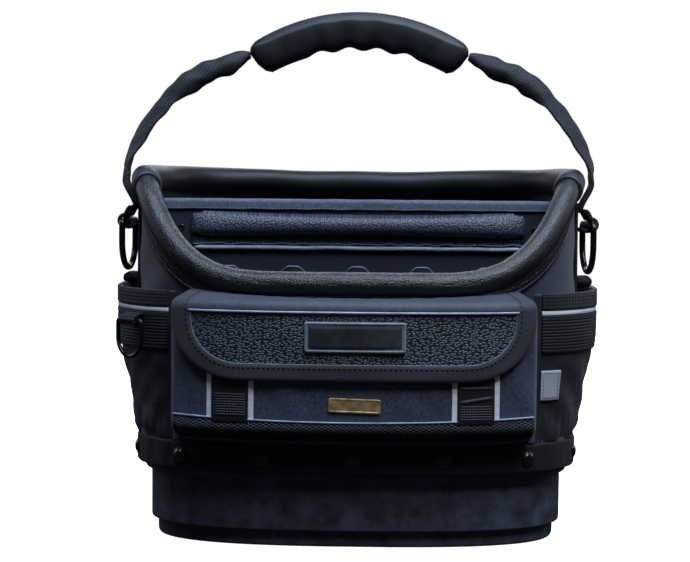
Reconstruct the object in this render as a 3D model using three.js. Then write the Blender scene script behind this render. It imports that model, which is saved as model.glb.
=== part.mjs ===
// Open top tool tote: a padded fabric body on a moulded base, with a divider,
// outside pockets, hanging rings and a webbing handle with a moulded grip.
// Millimetres, +Z up, the front faces -Y, and the origin is under the base's middle.
import * as THREE from "three";

// Body. Its plan is a superellipse, measured on the wall's outer face.
const bodyHalfWidth = 171;
const bodyHalfDepth = 115.5;
const planPower = 2.7;
const wallThickness = 6;
const ringStations = 72;

// Clearances between touching pieces
const gap = 0.3;

// Moulded base, with each face's distance in from the body's outer face
const plinthInset = 15;
const plinthHeight = 12;
const tubInset = 9.4;
const lipInset = 4.8;
const lipBottom = 51.5;
const lipTop = 57;
const tubThickness = 3.5;
const upstandThickness = 2.5;
const upstandTop = 76;
const floorThickness = 4;
const edgeRounding = 1.2;

// Riveted band at the wall's foot
const bandTop = 79;
const bandThickness = 1.5;
const rivetHeight = 68;
const rivetPitch = 68;
const rivetRadius = 5.75;
const rivetDome = 2.5;
const rivetShoulder = { across: 0.8, up: 0.75 };

// Rim. Its height is that of the roll's centre line, by arc length from the front centre.
const frontRimHeight = 201;
const sideRimHeight = 277;
const rearRimSag = 6;
const scoopStart = 50;
const scoopEnd = 210;
const scoopPower = 1.8;
const rollJoint = 196;
const jointRun = 20;
const frontRollRadius = 9.5;
const rearRollRadius = 11;
const skirtThickness = 1.5;
const frontSkirtDrop = 10;
const cornerSkirtDrop = 17;
const rearSkirtDrop = 14;
const innerSkirtDrop = 12;

// Divider across the middle of the bag
const dividerFront = 2;
const dividerThickness = 6;
const dividerTop = 261;
const dividerSideTop = 243;
const dividerSlopeRun = 7;
const dividerEndGap = 0.6;
const bolsterHalfWidth = 134;
const bolsterTop = 254;
const bolsterHeight = 24;
const bolsterThickness = 10;
const pipingRadius = 1.75;
const dividerPipingHeight = 223;
const toolStripTop = 209;
const toolStripHeight = 60;
const toolStripHalfWidth = 130;
const toolLoopRadius = 9;
const toolLoopPitch = 51;
const toolLoopCount = 5;

// Front pocket and its flap
const frontPocketHalfSpan = 137;
const frontPocketBottom = 82;
const frontPocketTop = 181;
const frontPocketDepth = 23;
const frontPocketSideRun = 12;
const frontPocketBottomRun = 14;
const frontPocketLevel = 50;
const pocketThickness = 2;
const flapSetIn = 10;
const flapStandOff = 2.6;
const flapThickness = 2;
const flapRearHeight = 187.6;
const flapRearRise = 5.5;
const flapFrontHeight = 188;
const flapDrop = 57.5;
const flapCornerRadius = 46;
const flapEdgeRadius = 5;
const bindingSideWidth = 12.5;
const bindingBottomWidth = 10;
const trimThickness = 1.2;
const flapPipingRadius = 1.2;
const badgeWidth = 73;
const badgeHeight = 23;
const badgeThickness = 2.4;
const badgeDrop = 24.3;
const plateWidth = 38.6;
const plateHeight = 11;
const plateThickness = 1.2;
const plateCentreHeight = 111;
const ladderSetIn = 50;
const ladderWidth = 25.6;
const ladderThickness = 1.2;
const stripeWidth = 3.6;
const tapeThickness = 0.6;
const ladderTop = 141;
const meshPanelTop = 100;

// Side pockets, by arc length from the front centre
const sidePocketSeam = 5;
const sidePocketRearArc = 306;
const sidePocketBottom = 80;
const sidePocketTop = 194;
const sidePocketDepth = 16.5;
const cuffHeight = 13;
const sideStripeHeight = 3.5;
const sideWebbingHeight = 29;
const labelWidth = 17;
const labelHeight = 23;
const labelCentreHeight = 123.5;

// Side straps, rings and their webbing loops
const strapWidth = 38;
const sideStrapThickness = 2.5;
const sideStrapBottom = 150;
const sideStrapTopDrop = 16;
const ringWire = 5;
const ringInnerWidth = 38;
const ringDrop = 37.5;
const ringBarDrop = 33;
const ringStandOff = 8.5;
const ringYaw = 8;
const ringTailSpread = 12;
const loopWidth = 26;
const loopThickness = 2.5;
const smallRingWire = 3.5;
const smallRingInnerWidth = 25;
const smallRingDrop = 28.5;
const smallRingBarHeight = 170;
const smallRingSetIn = 32;
const smallRingTurn = 13;
const smallRingStandOff = 6.6;
const smallRingTailSpread = 5.6;
const smallLoopWidth = 18;
const smallLoopThickness = 2;
const strapEndRise = 0.4;
const strapEndHeight = 8.5;
const strapEndReach = 11;
const strapEndWidth = 26;

// Handle
const handleStrapThickness = 3;
const handleFootDrop = 21;
const handleRimClearance = 3.4;
const handleRimRise = 11;
const handleEndDrop = 8.5;
const gripHalfLength = 86;
const gripRise = 133;
const gripTopRadius = 155;
const gripHeight = 30.6;
const gripBottomRadius = 145;
const gripHalfWidth = 15;
const gripEndRun = 6;
const gripEndDrop = 4;
const gripEndWidth = 0.75;
const gripRoundness = 0.75;
const fingerPitch = 23;
const fingerCount = 4;
const fingerOffset = 3;
const fingerDepth = 3;

// Places that follow the pockets and the flap
const flapHalfSpan = frontPocketHalfSpan - flapSetIn;
const flapBottom = flapFrontHeight - flapDrop;
const badgeCentreHeight = flapFrontHeight - badgeDrop;
const ladderArc = frontPocketHalfSpan - ladderSetIn;
const sidePocketFrontArc = frontPocketHalfSpan + sidePocketSeam;
const smallRingArc = sidePocketFrontArc + smallRingSetIn;
const strapEndBottom = sidePocketTop + strapEndRise;

// Heights that follow the rim at the sides
const rearRimHeight = sideRimHeight - rearRimSag;
const sideStrapTop = sideRimHeight - sideStrapTopDrop;
const ringBarHeight = sideRimHeight - ringBarDrop;
const gripTop = sideRimHeight + gripRise;

const colours = {
  nylon: 0x171a23, leather: 0x14161c, moulded: 0x23262e, binding: 0x2c3038, webbing: 0x101217,
  reflective: 0xb9c4d6, brass: 0x96784b, metal: 0x1a1c20, lining: 0x1b2433, label: 0xd9dbe0, rubber: 0x17191d,
};

// Plan of the body
function planPoint(angle) {
  const across = Math.sin(angle);
  const along = -Math.cos(angle);
  return new THREE.Vector2(
    bodyHalfWidth * Math.sign(across) * Math.abs(across) ** (2 / planPower),
    bodyHalfDepth * Math.sign(along) * Math.abs(along) ** (2 / planPower),
  );
}

function measurePlan(steps) {
  const table = [{ arc: 0, point: planPoint(0) }];
  for (let i = 1; i <= steps; i += 1) {
    const point = planPoint((Math.PI * i) / steps);
    const last = table[i - 1];
    table.push({ arc: last.arc + point.distanceTo(last.point), point });
  }
  return table;
}

const planTable = measurePlan(2000);
const halfPerimeter = planTable[planTable.length - 1].arc;
const arcStep = (2 * halfPerimeter) / ringStations;

// The point and outward normal of the plan at an arc length, which is negative on the -X side
function planAt(arc) {
  const side = arc < 0 ? -1 : 1;
  const target = Math.min(Math.abs(arc), halfPerimeter);
  let low = 0;
  let high = planTable.length - 1;
  while (high - low > 1) {
    const middle = (low + high) >> 1;
    if (planTable[middle].arc > target) high = middle;
    else low = middle;
  }
  const share = (target - planTable[low].arc) / (planTable[high].arc - planTable[low].arc);
  const point = planTable[low].point.clone().lerp(planTable[high].point, share);
  const normal = new THREE.Vector2(
    Math.abs(point.x / bodyHalfWidth) ** (planPower - 1) / bodyHalfWidth,
    (Math.sign(point.y) * Math.abs(point.y / bodyHalfDepth) ** (planPower - 1)) / bodyHalfDepth,
  ).normalize();
  return { x: side * point.x, y: point.y, nx: side * normal.x, ny: normal.y };
}

// A point near the wall, from arc length, height and distance out from the wall's outer face
function wallPoint(arc, height, out) {
  const at = planAt(arc);
  return new THREE.Vector3(at.x + at.nx * out, at.y + at.ny * out, height);
}

// Shared stations, so that pieces lying on each other bend at the same places
function arcStations(from, to) {
  const stations = [from];
  for (let k = Math.ceil(from / arcStep); k * arcStep < to; k += 1) {
    const clearOfEnds = k * arcStep - from > 1 && to - k * arcStep > 1;
    if (clearOfEnds) stations.push(k * arcStep);
  }
  stations.push(to);
  return stations;
}

function ringArcs() {
  return Array.from({ length: ringStations }, (_, i) => (i - ringStations / 2) * arcStep);
}

function levels(from, to, step, breaks = []) {
  const count = Math.max(1, Math.round((to - from) / step));
  const even = Array.from({ length: count + 1 }, (_, i) => from + ((to - from) * i) / count);
  const kept = breaks.filter((value) => value > from + 0.5 && value < to - 0.5);
  const clear = even.filter((value) => kept.every((mark) => Math.abs(mark - value) > 1));
  return [...clear, ...kept].sort((a, b) => a - b);
}

function tableAt(rows, share) {
  const last = rows[rows.length - 1];
  if (share >= last.at) return last.value;
  if (share <= rows[0].at) return rows[0].value;
  const next = Math.max(1, rows.findIndex((row) => row.at > share));
  const a = rows[next - 1];
  const b = rows[next];
  return a.value + ((b.value - a.value) * (share - a.at)) / (b.at - a.at);
}

// A quarter-round rise from an edge, as a share of its full height
function edgeRise(distance, run) {
  if (distance >= run) return 1;
  return Math.sqrt(Math.max(0, 1 - (1 - distance / run) ** 2));
}

// Distances from an edge that space a quarter round evenly
function riseStations(run, steps) {
  return Array.from({ length: steps }, (_, i) => run * (1 - Math.cos((Math.PI * i) / (2 * steps))));
}

// Mesh makers. Each closed surface is turned outwards by the sign of its volume.
function closedGeometry(points, faces) {
  let volume = 0;
  for (const [a, b, c] of faces) {
    volume += points[a].dot(points[b].clone().cross(points[c]));
  }
  const turned = volume < 0 ? faces.map(([a, b, c]) => [a, c, b]) : faces;
  const geometry = new THREE.BufferGeometry();
  geometry.setAttribute("position", new THREE.Float32BufferAttribute(points.flatMap((p) => p.toArray()), 3));
  geometry.setIndex(turned.flat());
  geometry.computeVertexNormals();
  return geometry;
}

// A sheet with two faces, each a grid of points, joined all round its edges
function sheetGeometry(outer, inner, closed = false) {
  const columns = outer.length;
  const rows = outer[0].length;
  const points = [...outer.flat(), ...inner.flat()];
  const index = (face, i, j) => face * columns * rows + (i % columns) * rows + j;
  const faces = [];
  const quad = (a, b, c, d) => faces.push([a, b, c], [a, c, d]);
  const lastColumn = closed ? columns : columns - 1;
  for (let i = 0; i < lastColumn; i += 1) {
    for (let j = 0; j < rows - 1; j += 1) {
      quad(index(0, i, j), index(0, i + 1, j), index(0, i + 1, j + 1), index(0, i, j + 1));
      quad(index(1, i, j), index(1, i, j + 1), index(1, i + 1, j + 1), index(1, i + 1, j));
    }
    quad(index(0, i, 0), index(1, i, 0), index(1, i + 1, 0), index(0, i + 1, 0));
    quad(index(0, i, rows - 1), index(0, i + 1, rows - 1), index(1, i + 1, rows - 1), index(1, i, rows - 1));
  }
  if (!closed) {
    for (let j = 0; j < rows - 1; j += 1) {
      const end = columns - 1;
      quad(index(0, 0, j), index(0, 0, j + 1), index(1, 0, j + 1), index(1, 0, j));
      quad(index(0, end, j), index(1, end, j), index(1, end, j + 1), index(0, end, j + 1));
    }
  }
  return closedGeometry(points, faces);
}

// A run of equal sections joined side by side, capped at both ends unless it closes on itself
function sweepGeometry(sections, outline, closed = false) {
  const count = sections.length;
  const size = outline.length;
  const points = sections.flat();
  const index = (i, j) => (i % count) * size + (j % size);
  const faces = [];
  for (let i = 0; i < (closed ? count : count - 1); i += 1) {
    for (let j = 0; j < size; j += 1) {
      faces.push([index(i, j), index(i, j + 1), index(i + 1, j + 1)]);
      faces.push([index(i, j), index(i + 1, j + 1), index(i + 1, j)]);
    }
  }
  if (!closed) {
    const outlineTurn = Math.sign(THREE.ShapeUtils.area(outline));
    for (const [a, b, c] of THREE.ShapeUtils.triangulateShape(outline, [])) {
      const turn = Math.sign(THREE.ShapeUtils.area([outline[a], outline[b], outline[c]]));
      const [p, q, r] = turn === outlineTurn ? [a, b, c] : [a, c, b];
      faces.push([index(0, p), index(0, r), index(0, q)]);
      faces.push([index(count - 1, p), index(count - 1, q), index(count - 1, r)]);
    }
  }
  return closedGeometry(points, faces);
}

// A vessel made of level rings, from the middle of its underside to the middle of its floor
function vesselGeometry(profile) {
  const arcs = ringArcs();
  const first = profile[0];
  const last = profile[profile.length - 1];
  const points = [new THREE.Vector3(0, 0, first.height)];
  for (const { out, height } of profile) {
    points.push(...arcs.map((arc) => wallPoint(arc, height, out)));
  }
  points.push(new THREE.Vector3(0, 0, last.height));
  const size = arcs.length;
  const index = (row, i) => 1 + row * size + (i % size);
  const faces = [];
  for (let i = 0; i < size; i += 1) {
    faces.push([0, index(0, i + 1), index(0, i)]);
    faces.push([points.length - 1, index(profile.length - 1, i), index(profile.length - 1, i + 1)]);
    for (let row = 0; row < profile.length - 1; row += 1) {
      faces.push([index(row, i), index(row, i + 1), index(row + 1, i + 1)]);
      faces.push([index(row, i), index(row + 1, i + 1), index(row + 1, i)]);
    }
  }
  return closedGeometry(points, faces);
}

// Trim lying on a surface whose distance out from the wall is outAt(arc, height)
function trimGeometry({ arcs, heights, outAt, lift = gap, thickness }) {
  const face = (extra) => arcs.map((arc) => heights.map(
    (height) => wallPoint(arc, height, outAt(arc, height) + lift + extra),
  ));
  return sheetGeometry(face(thickness), face(0));
}

const tote = new THREE.Group();

function material(colour, roughness, metalness = 0) {
  return new THREE.MeshStandardMaterial({ color: colour, roughness, metalness });
}

function addPiece(name, geometry, look, parent = tote) {
  const mesh = new THREE.Mesh(geometry, look);
  mesh.name = name;
  parent.add(mesh);
  return mesh;
}

const nylon = material(colours.nylon, 0.9);
const leather = material(colours.leather, 0.45);
const moulded = material(colours.moulded, 0.6);
const bindingTape = material(colours.binding, 0.85);
const webbing = material(colours.webbing, 0.85);
const reflective = material(colours.reflective, 0.35, 0.3);
const brass = material(colours.brass, 0.4, 0.9);
const blackMetal = material(colours.metal, 0.35, 0.7);
const lining = material(colours.lining, 0.8);
const plainLabel = material(colours.label, 0.7);
const rubber = material(colours.rubber, 0.6);

// Base: a floor plate, and the tub's wall that stands on it and steps out above the plinth
const plinthOut = -plinthInset;

addPiece("base_floor", vesselGeometry([
  { out: plinthOut - edgeRounding, height: 0 },
  { out: plinthOut, height: edgeRounding },
  { out: plinthOut, height: floorThickness },
]), moulded);

function baseTub() {
  const tubOut = -tubInset;
  const lipOut = -lipInset;
  const upstandOut = -wallThickness - gap;
  const upstandInner = upstandOut - upstandThickness;
  const foot = floorThickness + gap;
  const profile = [
    { out: plinthOut, height: foot },
    { out: plinthOut, height: plinthHeight },
    { out: tubOut, height: plinthHeight + edgeRounding },
    { out: tubOut, height: lipBottom },
    { out: lipOut, height: lipBottom + edgeRounding },
    { out: lipOut, height: lipTop },
    { out: upstandOut, height: lipTop },
    { out: upstandOut, height: upstandTop },
    { out: upstandInner, height: upstandTop },
    { out: tubOut - tubThickness, height: lipBottom },
    { out: tubOut - tubThickness, height: plinthHeight + tubThickness },
    { out: plinthOut - tubThickness, height: plinthHeight },
    { out: plinthOut - tubThickness, height: foot },
  ];
  const sections = ringArcs().map((arc) => profile.map(({ out, height }) => wallPoint(arc, height, out)));
  return sweepGeometry(sections, profile, true);
}

addPiece("base_tub", baseTub(), moulded);

// Rim height at an arc length: the front scoop, the level sides and the slight sag at the back
function rimHeight(arc) {
  const reach = Math.abs(arc);
  if (reach <= scoopEnd) {
    const share = Math.max(0, (reach - scoopStart) / (scoopEnd - scoopStart)) ** scoopPower;
    return frontRimHeight + (sideRimHeight - frontRimHeight) * share * share * (3 - 2 * share);
  }
  const back = (reach - scoopEnd) / (halfPerimeter - scoopEnd);
  return sideRimHeight + (rearRimHeight - sideRimHeight) * back * back * (3 - 2 * back);
}

// Arc length past the middle of the back, brought round to the other side's numbers
function wrapArc(arc) {
  return Math.abs(arc) > halfPerimeter ? arc - Math.sign(arc) * 2 * halfPerimeter : arc;
}

// The wall is sewn from a front and a back panel, which meet at the middle of each side
const sideArc = halfPerimeter / 2;
const wallFoot = lipTop + gap;

function wallPanel(from, to) {
  const arcs = arcStations(from + gap / 2, to - gap / 2);
  const face = (out) => arcs.map((arc) => [
    wallPoint(wrapArc(arc), wallFoot, out),
    wallPoint(wrapArc(arc), rimHeight(wrapArc(arc)) - gap, out),
  ]);
  return sheetGeometry(face(0), face(-wallThickness));
}

addPiece("wall_panel_front", wallPanel(-sideArc, sideArc), nylon);
addPiece("wall_panel_back", wallPanel(sideArc, 2 * halfPerimeter - sideArc), nylon);

function baseBand() {
  const arcs = ringArcs();
  const face = (out) => arcs.map((arc) => [wallPoint(arc, wallFoot, out), wallPoint(arc, bandTop, out)]);
  return sheetGeometry(face(gap + bandThickness), face(gap), true);
}

addPiece("base_band", baseBand(), nylon);

// A domed cap with its flat back at z = 0
function rivetCap() {
  const profile = [
    new THREE.Vector2(0, 0),
    new THREE.Vector2(rivetRadius, 0),
    new THREE.Vector2(rivetRadius * rivetShoulder.across, rivetDome * rivetShoulder.up),
    new THREE.Vector2(0, rivetDome),
  ];
  return new THREE.LatheGeometry(profile, 8);
}

const rivetCount = Math.round((2 * halfPerimeter) / rivetPitch);
for (let i = 0; i < rivetCount; i += 1) {
  const turn = i / rivetCount;
  const arc = (turn > 0.5 ? turn - 1 : turn) * 2 * halfPerimeter;
  const at = planAt(arc);
  const rivet = addPiece(`rivet_${String(i + 1).padStart(2, "0")}`, rivetCap(), blackMetal);
  rivet.position.copy(wallPoint(arc, rivetHeight, bandThickness + 2 * gap));
  rivet.quaternion.setFromUnitVectors(new THREE.Vector3(0, 1, 0), new THREE.Vector3(at.nx, at.ny, 0));
}

// Section of a rim roll: out is from the wall's outer face, up is from the roll's centre line.
// The wall's edge stands in the slot between the two skirts.
const rollArcSteps = 6;

function rollOutline(radius, outerDrop) {
  const middle = -wallThickness / 2;
  const outerFace = gap + skirtThickness;
  const innerFace = -wallThickness - gap - skirtThickness;
  const start = -Math.acos((outerFace - middle) / radius);
  const roll = Array.from({ length: rollArcSteps + 1 }, (_, i) => {
    const angle = start + ((Math.PI - 2 * start) * i) / rollArcSteps;
    return new THREE.Vector2(middle + radius * Math.cos(angle), radius * Math.sin(angle));
  });
  return [
    ...roll,
    new THREE.Vector2(innerFace, -innerSkirtDrop),
    new THREE.Vector2(-wallThickness - gap, -innerSkirtDrop),
    new THREE.Vector2(-wallThickness - gap, gap),
    new THREE.Vector2(gap, gap),
    new THREE.Vector2(gap, -outerDrop),
    new THREE.Vector2(outerFace, -outerDrop),
  ];
}

// The roll leans with the rim's slope, except where two rolls meet, and its skirts hang straight down
function rimRoll(arcs, radius, dropAt) {
  const sections = arcs.map((arc) => {
    const outline = rollOutline(radius, dropAt(arc));
    const rim = rimHeight(wrapArc(arc));
    const slope = Math.atan(rimHeight(wrapArc(arc + 0.5)) - rimHeight(wrapArc(arc - 0.5)));
    const fromJoint = Math.abs(Math.abs(wrapArc(arc)) - rollJoint);
    const lean = slope * Math.min(1, fromJoint / jointRun);
    return outline.map(({ x: out, y: up }, i) => {
      if (i > rollArcSteps) return wallPoint(wrapArc(arc), rim + up / Math.cos(lean), out);
      return wallPoint(wrapArc(arc - up * Math.sin(lean)), rim + up * Math.cos(lean), out);
    });
  });
  return sweepGeometry(sections, rollOutline(radius, dropAt(arcs[0])));
}

function frontDropAt(arc) {
  const share = Math.min(1, Math.abs(arc) / flapHalfSpan);
  return frontSkirtDrop + (cornerSkirtDrop - frontSkirtDrop) * share ** 2;
}

addPiece("rim_roll_front", rimRoll(arcStations(-rollJoint, rollJoint), frontRollRadius, frontDropAt), leather);

// The thicker roll round the rest of the rim, in two lengths that meet at the middle of the back
const rearRollEnd = halfPerimeter - gap / 2;
const rightArcs = arcStations(rollJoint + gap, rearRollEnd);
const leftArcs = arcStations(-rearRollEnd, -rollJoint - gap);
addPiece("rim_roll_rear_right", rimRoll(rightArcs, rearRollRadius, () => rearSkirtDrop), nylon);
addPiece("rim_roll_rear_left", rimRoll(leftArcs, rearRollRadius, () => rearSkirtDrop), nylon);

// Half-width inside the bag at a height and a depth, for what stands across it
function insideHalfWidth(out, depth) {
  const inner = (arc) => wallPoint(arc, 0, out);
  let low = 0;
  let high = halfPerimeter;
  while (high - low > 0.01) {
    const middle = (low + high) / 2;
    if (inner(middle).y < depth) low = middle;
    else high = middle;
  }
  return inner(low).x;
}

function dividerBoard() {
  const depth = dividerFront + dividerThickness;
  const halfWidth = (out) => insideHalfWidth(out, depth) - dividerEndGap;
  const plinthHalf = halfWidth(-plinthInset - tubThickness);
  const tubHalf = halfWidth(-tubInset - tubThickness);
  const upstandHalf = halfWidth(-wallThickness - gap - upstandThickness);
  const wallHalf = halfWidth(-wallThickness);
  const right = [
    [plinthHalf, floorThickness + gap],
    [plinthHalf, plinthHeight + tubThickness + gap],
    [Math.min(tubHalf, upstandHalf), plinthHeight + 2 * tubThickness],
    [Math.min(tubHalf, upstandHalf), upstandTop + gap],
    [wallHalf, upstandTop + gap],
    [wallHalf, dividerSideTop],
    [wallHalf - dividerSlopeRun, dividerTop],
  ];
  const outline = [...right, ...right.map(([x, z]) => [-x, z]).reverse()];
  const shape = new THREE.Shape(outline.map(([x, z]) => new THREE.Vector2(x, z)));
  const geometry = new THREE.ExtrudeGeometry(shape, { depth: dividerThickness, bevelEnabled: false });
  geometry.rotateX(Math.PI / 2);
  geometry.translate(0, depth, 0);
  return geometry;
}

addPiece("divider_board", dividerBoard(), lining);

// A padded bar on the divider. Its ends thin out: shares of its half-width, and of its thickness left.
const bolsterStations = [-1, -0.985, -0.95, 0, 0.95, 0.985, 1];
const bolsterEndThickness = 0.35;
const bolsterEndHeight = 0.87;
const bolsterRoundness = 0.6;

function dividerBolster() {
  const back = dividerFront - gap;
  const middle = bolsterTop - bolsterHeight / 2;
  const outline = [];
  const arcSteps = 6;
  for (let i = 0; i <= arcSteps; i += 1) {
    const angle = -Math.PI / 2 + (Math.PI * i) / arcSteps;
    outline.push(new THREE.Vector2(Math.cos(angle) ** bolsterRoundness, Math.sin(angle)));
  }
  const sections = bolsterStations.map((share) => {
    const x = share * bolsterHalfWidth;
    const rise = edgeRise(bolsterHalfWidth - Math.abs(x), bolsterThickness);
    const deep = bolsterThickness * THREE.MathUtils.lerp(bolsterEndThickness, 1, rise);
    const high = bolsterHeight * THREE.MathUtils.lerp(bolsterEndHeight, 1, rise);
    return outline.map(({ x: out, y: up }) => new THREE.Vector3(x, back - out * deep, middle + (up * high) / 2));
  });
  return sweepGeometry(sections, outline);
}

addPiece("divider_bolster", dividerBolster(), leather);

function roundBar(radius, length) {
  const bar = new THREE.CylinderGeometry(radius, radius, length, 8);
  bar.rotateZ(Math.PI / 2);
  return bar;
}

const dividerPiping = addPiece("divider_piping", roundBar(pipingRadius, 2 * toolStripHalfWidth), reflective);
dividerPiping.position.set(0, dividerFront - gap - pipingRadius, dividerPipingHeight);

// Strip on the divider that arches out into half-round sleeves, open at the top and bottom
function toolLoopStrip() {
  const thickness = pocketThickness;
  const outer = toolLoopRadius + thickness;
  const foot = Math.asin(thickness / outer);
  const middles = Array.from({ length: toolLoopCount }, (_, i) => (i - (toolLoopCount - 1) / 2) * toolLoopPitch);
  const shape = new THREE.Shape();
  shape.moveTo(-toolStripHalfWidth, 0);
  for (const middle of middles) {
    shape.absarc(middle, 0, toolLoopRadius, Math.PI, 2 * Math.PI, false);
  }
  shape.lineTo(toolStripHalfWidth, 0);
  shape.lineTo(toolStripHalfWidth, -thickness);
  for (const middle of middles.reverse()) {
    shape.absarc(middle, 0, outer, -foot, foot - Math.PI, true);
  }
  shape.lineTo(-toolStripHalfWidth, -thickness);
  const options = { depth: toolStripHeight, bevelEnabled: false, curveSegments: 4 };
  return new THREE.ExtrudeGeometry(shape, options);
}

const toolStrip = addPiece("tool_loop_strip", toolLoopStrip(), nylon);
toolStrip.position.set(0, dividerFront - gap, toolStripTop - toolStripHeight);

// Distance out of the front pocket's face, drawn in by a skin's thickness for its inner face
function frontPocketOut(arc, height, skin = 0) {
  const side = edgeRise(frontPocketHalfSpan - skin - Math.abs(arc), frontPocketSideRun);
  const low = edgeRise(height - frontPocketBottom - skin, frontPocketBottomRun);
  return (frontPocketDepth - skin) * side * low;
}

function frontPocket() {
  const face = (skin) => {
    const halfSpan = frontPocketHalfSpan - skin;
    const bottom = frontPocketBottom + skin;
    const edges = riseStations(frontPocketSideRun, 3);
    const flat = frontPocketHalfSpan - frontPocketSideRun;
    const arcs = [
      ...edges.map((d) => d - halfSpan),
      ...arcStations(-flat + skin, flat - skin),
      ...edges.map((d) => halfSpan - d).reverse(),
    ];
    const heights = [
      ...riseStations(frontPocketBottomRun, 3).map((d) => bottom + d),
      ...levels(frontPocketBottom + frontPocketBottomRun + skin, frontPocketTop, frontPocketLevel),
    ];
    return arcs.map((arc) => heights.map(
      (height) => wallPoint(arc, height, gap + frontPocketOut(arc, height, skin)),
    ));
  };
  return sheetGeometry(face(0), face(pocketThickness));
}

addPiece("front_pocket", frontPocket(), nylon);

const onFrontPocket = (arc, height) => gap + frontPocketOut(arc, height);
const panelSpan = frontPocketHalfSpan - frontPocketSideRun;
const panelBottom = frontPocketBottom + frontPocketBottomRun / 4;
addPiece("pocket_mesh_panel", trimGeometry({
  arcs: arcStations(-panelSpan, panelSpan),
  heights: [
    panelBottom,
    frontPocketBottom + frontPocketBottomRun / 2,
    frontPocketBottom + frontPocketBottomRun,
    meshPanelTop,
  ],
  outAt: onFrontPocket,
  lift: 2 * gap,
  thickness: trimThickness,
}), leather);

// Bands that run up under the flap: reflective tape, with webbing over all but its two edges
for (const [side, sign] of [["left", -1], ["right", 1]]) {
  const band = (width, lift, thickness) => trimGeometry({
    arcs: arcStations(sign * ladderArc - width / 2, sign * ladderArc + width / 2),
    heights: [meshPanelTop + gap, ladderTop],
    outAt: onFrontPocket,
    lift,
    thickness,
  });
  const tapeWidth = ladderWidth + 2 * stripeWidth;
  addPiece(`reflective_tape_${side}`, band(tapeWidth, gap, tapeThickness), reflective);
  addPiece(`webbing_ladder_${side}`, band(ladderWidth, 2 * gap + tapeThickness, ladderThickness), webbing);
}

addPiece("name_plate", trimGeometry({
  arcs: arcStations(-plateWidth / 2, plateWidth / 2),
  heights: [plateCentreHeight - plateHeight / 2, plateCentreHeight + plateHeight / 2],
  outAt: onFrontPocket,
  thickness: plateThickness,
}), brass);

// Flap. It leaves the wall, slopes to its front edge, turns down and hangs in front of the pocket.
const flapRearOut = skirtThickness + 2 * gap;
const flapFrontOut = gap + frontPocketDepth + flapStandOff;

function flapRear(arc) {
  return flapRearHeight + flapRearRise * (arc / flapHalfSpan) ** 2;
}

// How far the flap's hem rises at an arc length, where its corners are rounded
function hemRise(arc) {
  const past = Math.abs(arc) - (flapHalfSpan - flapCornerRadius);
  if (past <= 0) return 0;
  return flapCornerRadius - Math.sqrt(Math.max(0, flapCornerRadius ** 2 - past ** 2));
}

function flapArcs() {
  const corner = flapHalfSpan - flapCornerRadius;
  const turn = Array.from({ length: 5 }, (_, i) => corner + flapCornerRadius * Math.sin((Math.PI * (i + 1)) / 10));
  return [...turn.map((arc) => -arc).reverse(), ...arcStations(-corner, corner), ...turn];
}

const flapTurnSteps = 2;

// Points of the flap's upper part, from the wall to below the turned edge, lifted by a distance
function flapTopRun(arc, lift) {
  const rear = flapRear(arc);
  const run = [{ out: flapRearOut, height: rear + lift }];
  for (let i = 0; i <= flapTurnSteps; i += 1) {
    const angle = (Math.PI / 2) * (1 - i / flapTurnSteps);
    run.push({
      out: flapFrontOut - flapEdgeRadius + (flapEdgeRadius + lift) * Math.cos(angle),
      height: flapFrontHeight - flapEdgeRadius + (flapEdgeRadius + lift) * Math.sin(angle),
    });
  }
  return run;
}

function pocketFlap() {
  const face = (lift) => flapArcs().map((arc) => {
    const hem = flapBottom + hemRise(arc);
    const turned = flapFrontHeight - flapEdgeRadius;
    const drop = [0.5, 1].map((share) => ({
      out: flapFrontOut + lift,
      height: turned + (hem - turned) * share,
    }));
    return [...flapTopRun(arc, lift), ...drop].map(({ out, height }) => wallPoint(arc, height, out));
  });
  return sheetGeometry(face(flapThickness), face(0));
}

addPiece("pocket_flap", pocketFlap(), leather);

const flapFaceOut = flapFrontOut + flapThickness;

// Tape along the flap's free edge, from one turned corner to the other
function flapBinding() {
  const start = flapFrontHeight - flapEdgeRadius - flapPipingRadius;
  const corner = flapHalfSpan - flapCornerRadius;
  const cornerHeight = flapBottom + flapCornerRadius;
  const turnSteps = 6;
  const edge = [{ arc: flapHalfSpan, height: start, inArc: -bindingSideWidth, inHeight: 0 }];
  for (let i = 0; i <= turnSteps; i += 1) {
    const angle = (Math.PI / 2) * (i / turnSteps);
    edge.push({
      arc: corner + flapCornerRadius * Math.cos(angle),
      height: cornerHeight - flapCornerRadius * Math.sin(angle),
      inArc: -bindingSideWidth * Math.cos(angle),
      inHeight: bindingBottomWidth * Math.sin(angle),
    });
  }
  const level = arcStations(-corner, corner).slice(1, -1).reverse().map((arc) => ({
    arc, height: flapBottom, inArc: 0, inHeight: bindingBottomWidth,
  }));
  const mirrored = edge.map((row) => ({ ...row, arc: -row.arc, inArc: -row.inArc })).reverse();
  const rows = [...edge, ...level, ...mirrored];
  const face = (out) => rows.map((row) => [
    wallPoint(row.arc, row.height, out),
    wallPoint(row.arc + row.inArc, row.height + row.inHeight, out),
  ]);
  return sheetGeometry(face(flapFaceOut + gap + trimThickness), face(flapFaceOut + gap));
}

addPiece("flap_binding", flapBinding(), bindingTape);

function flapTopStrip() {
  const span = flapHalfSpan - bindingSideWidth;
  const face = (lift) => arcStations(-span, span).map((arc) => flapTopRun(arc, flapThickness + gap + lift)
    .slice(0, flapTurnSteps + 1)
    .map(({ out, height }) => wallPoint(arc, height, out)));
  return sheetGeometry(face(trimThickness), face(0));
}

addPiece("flap_top_strip", flapTopStrip(), nylon);

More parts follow.
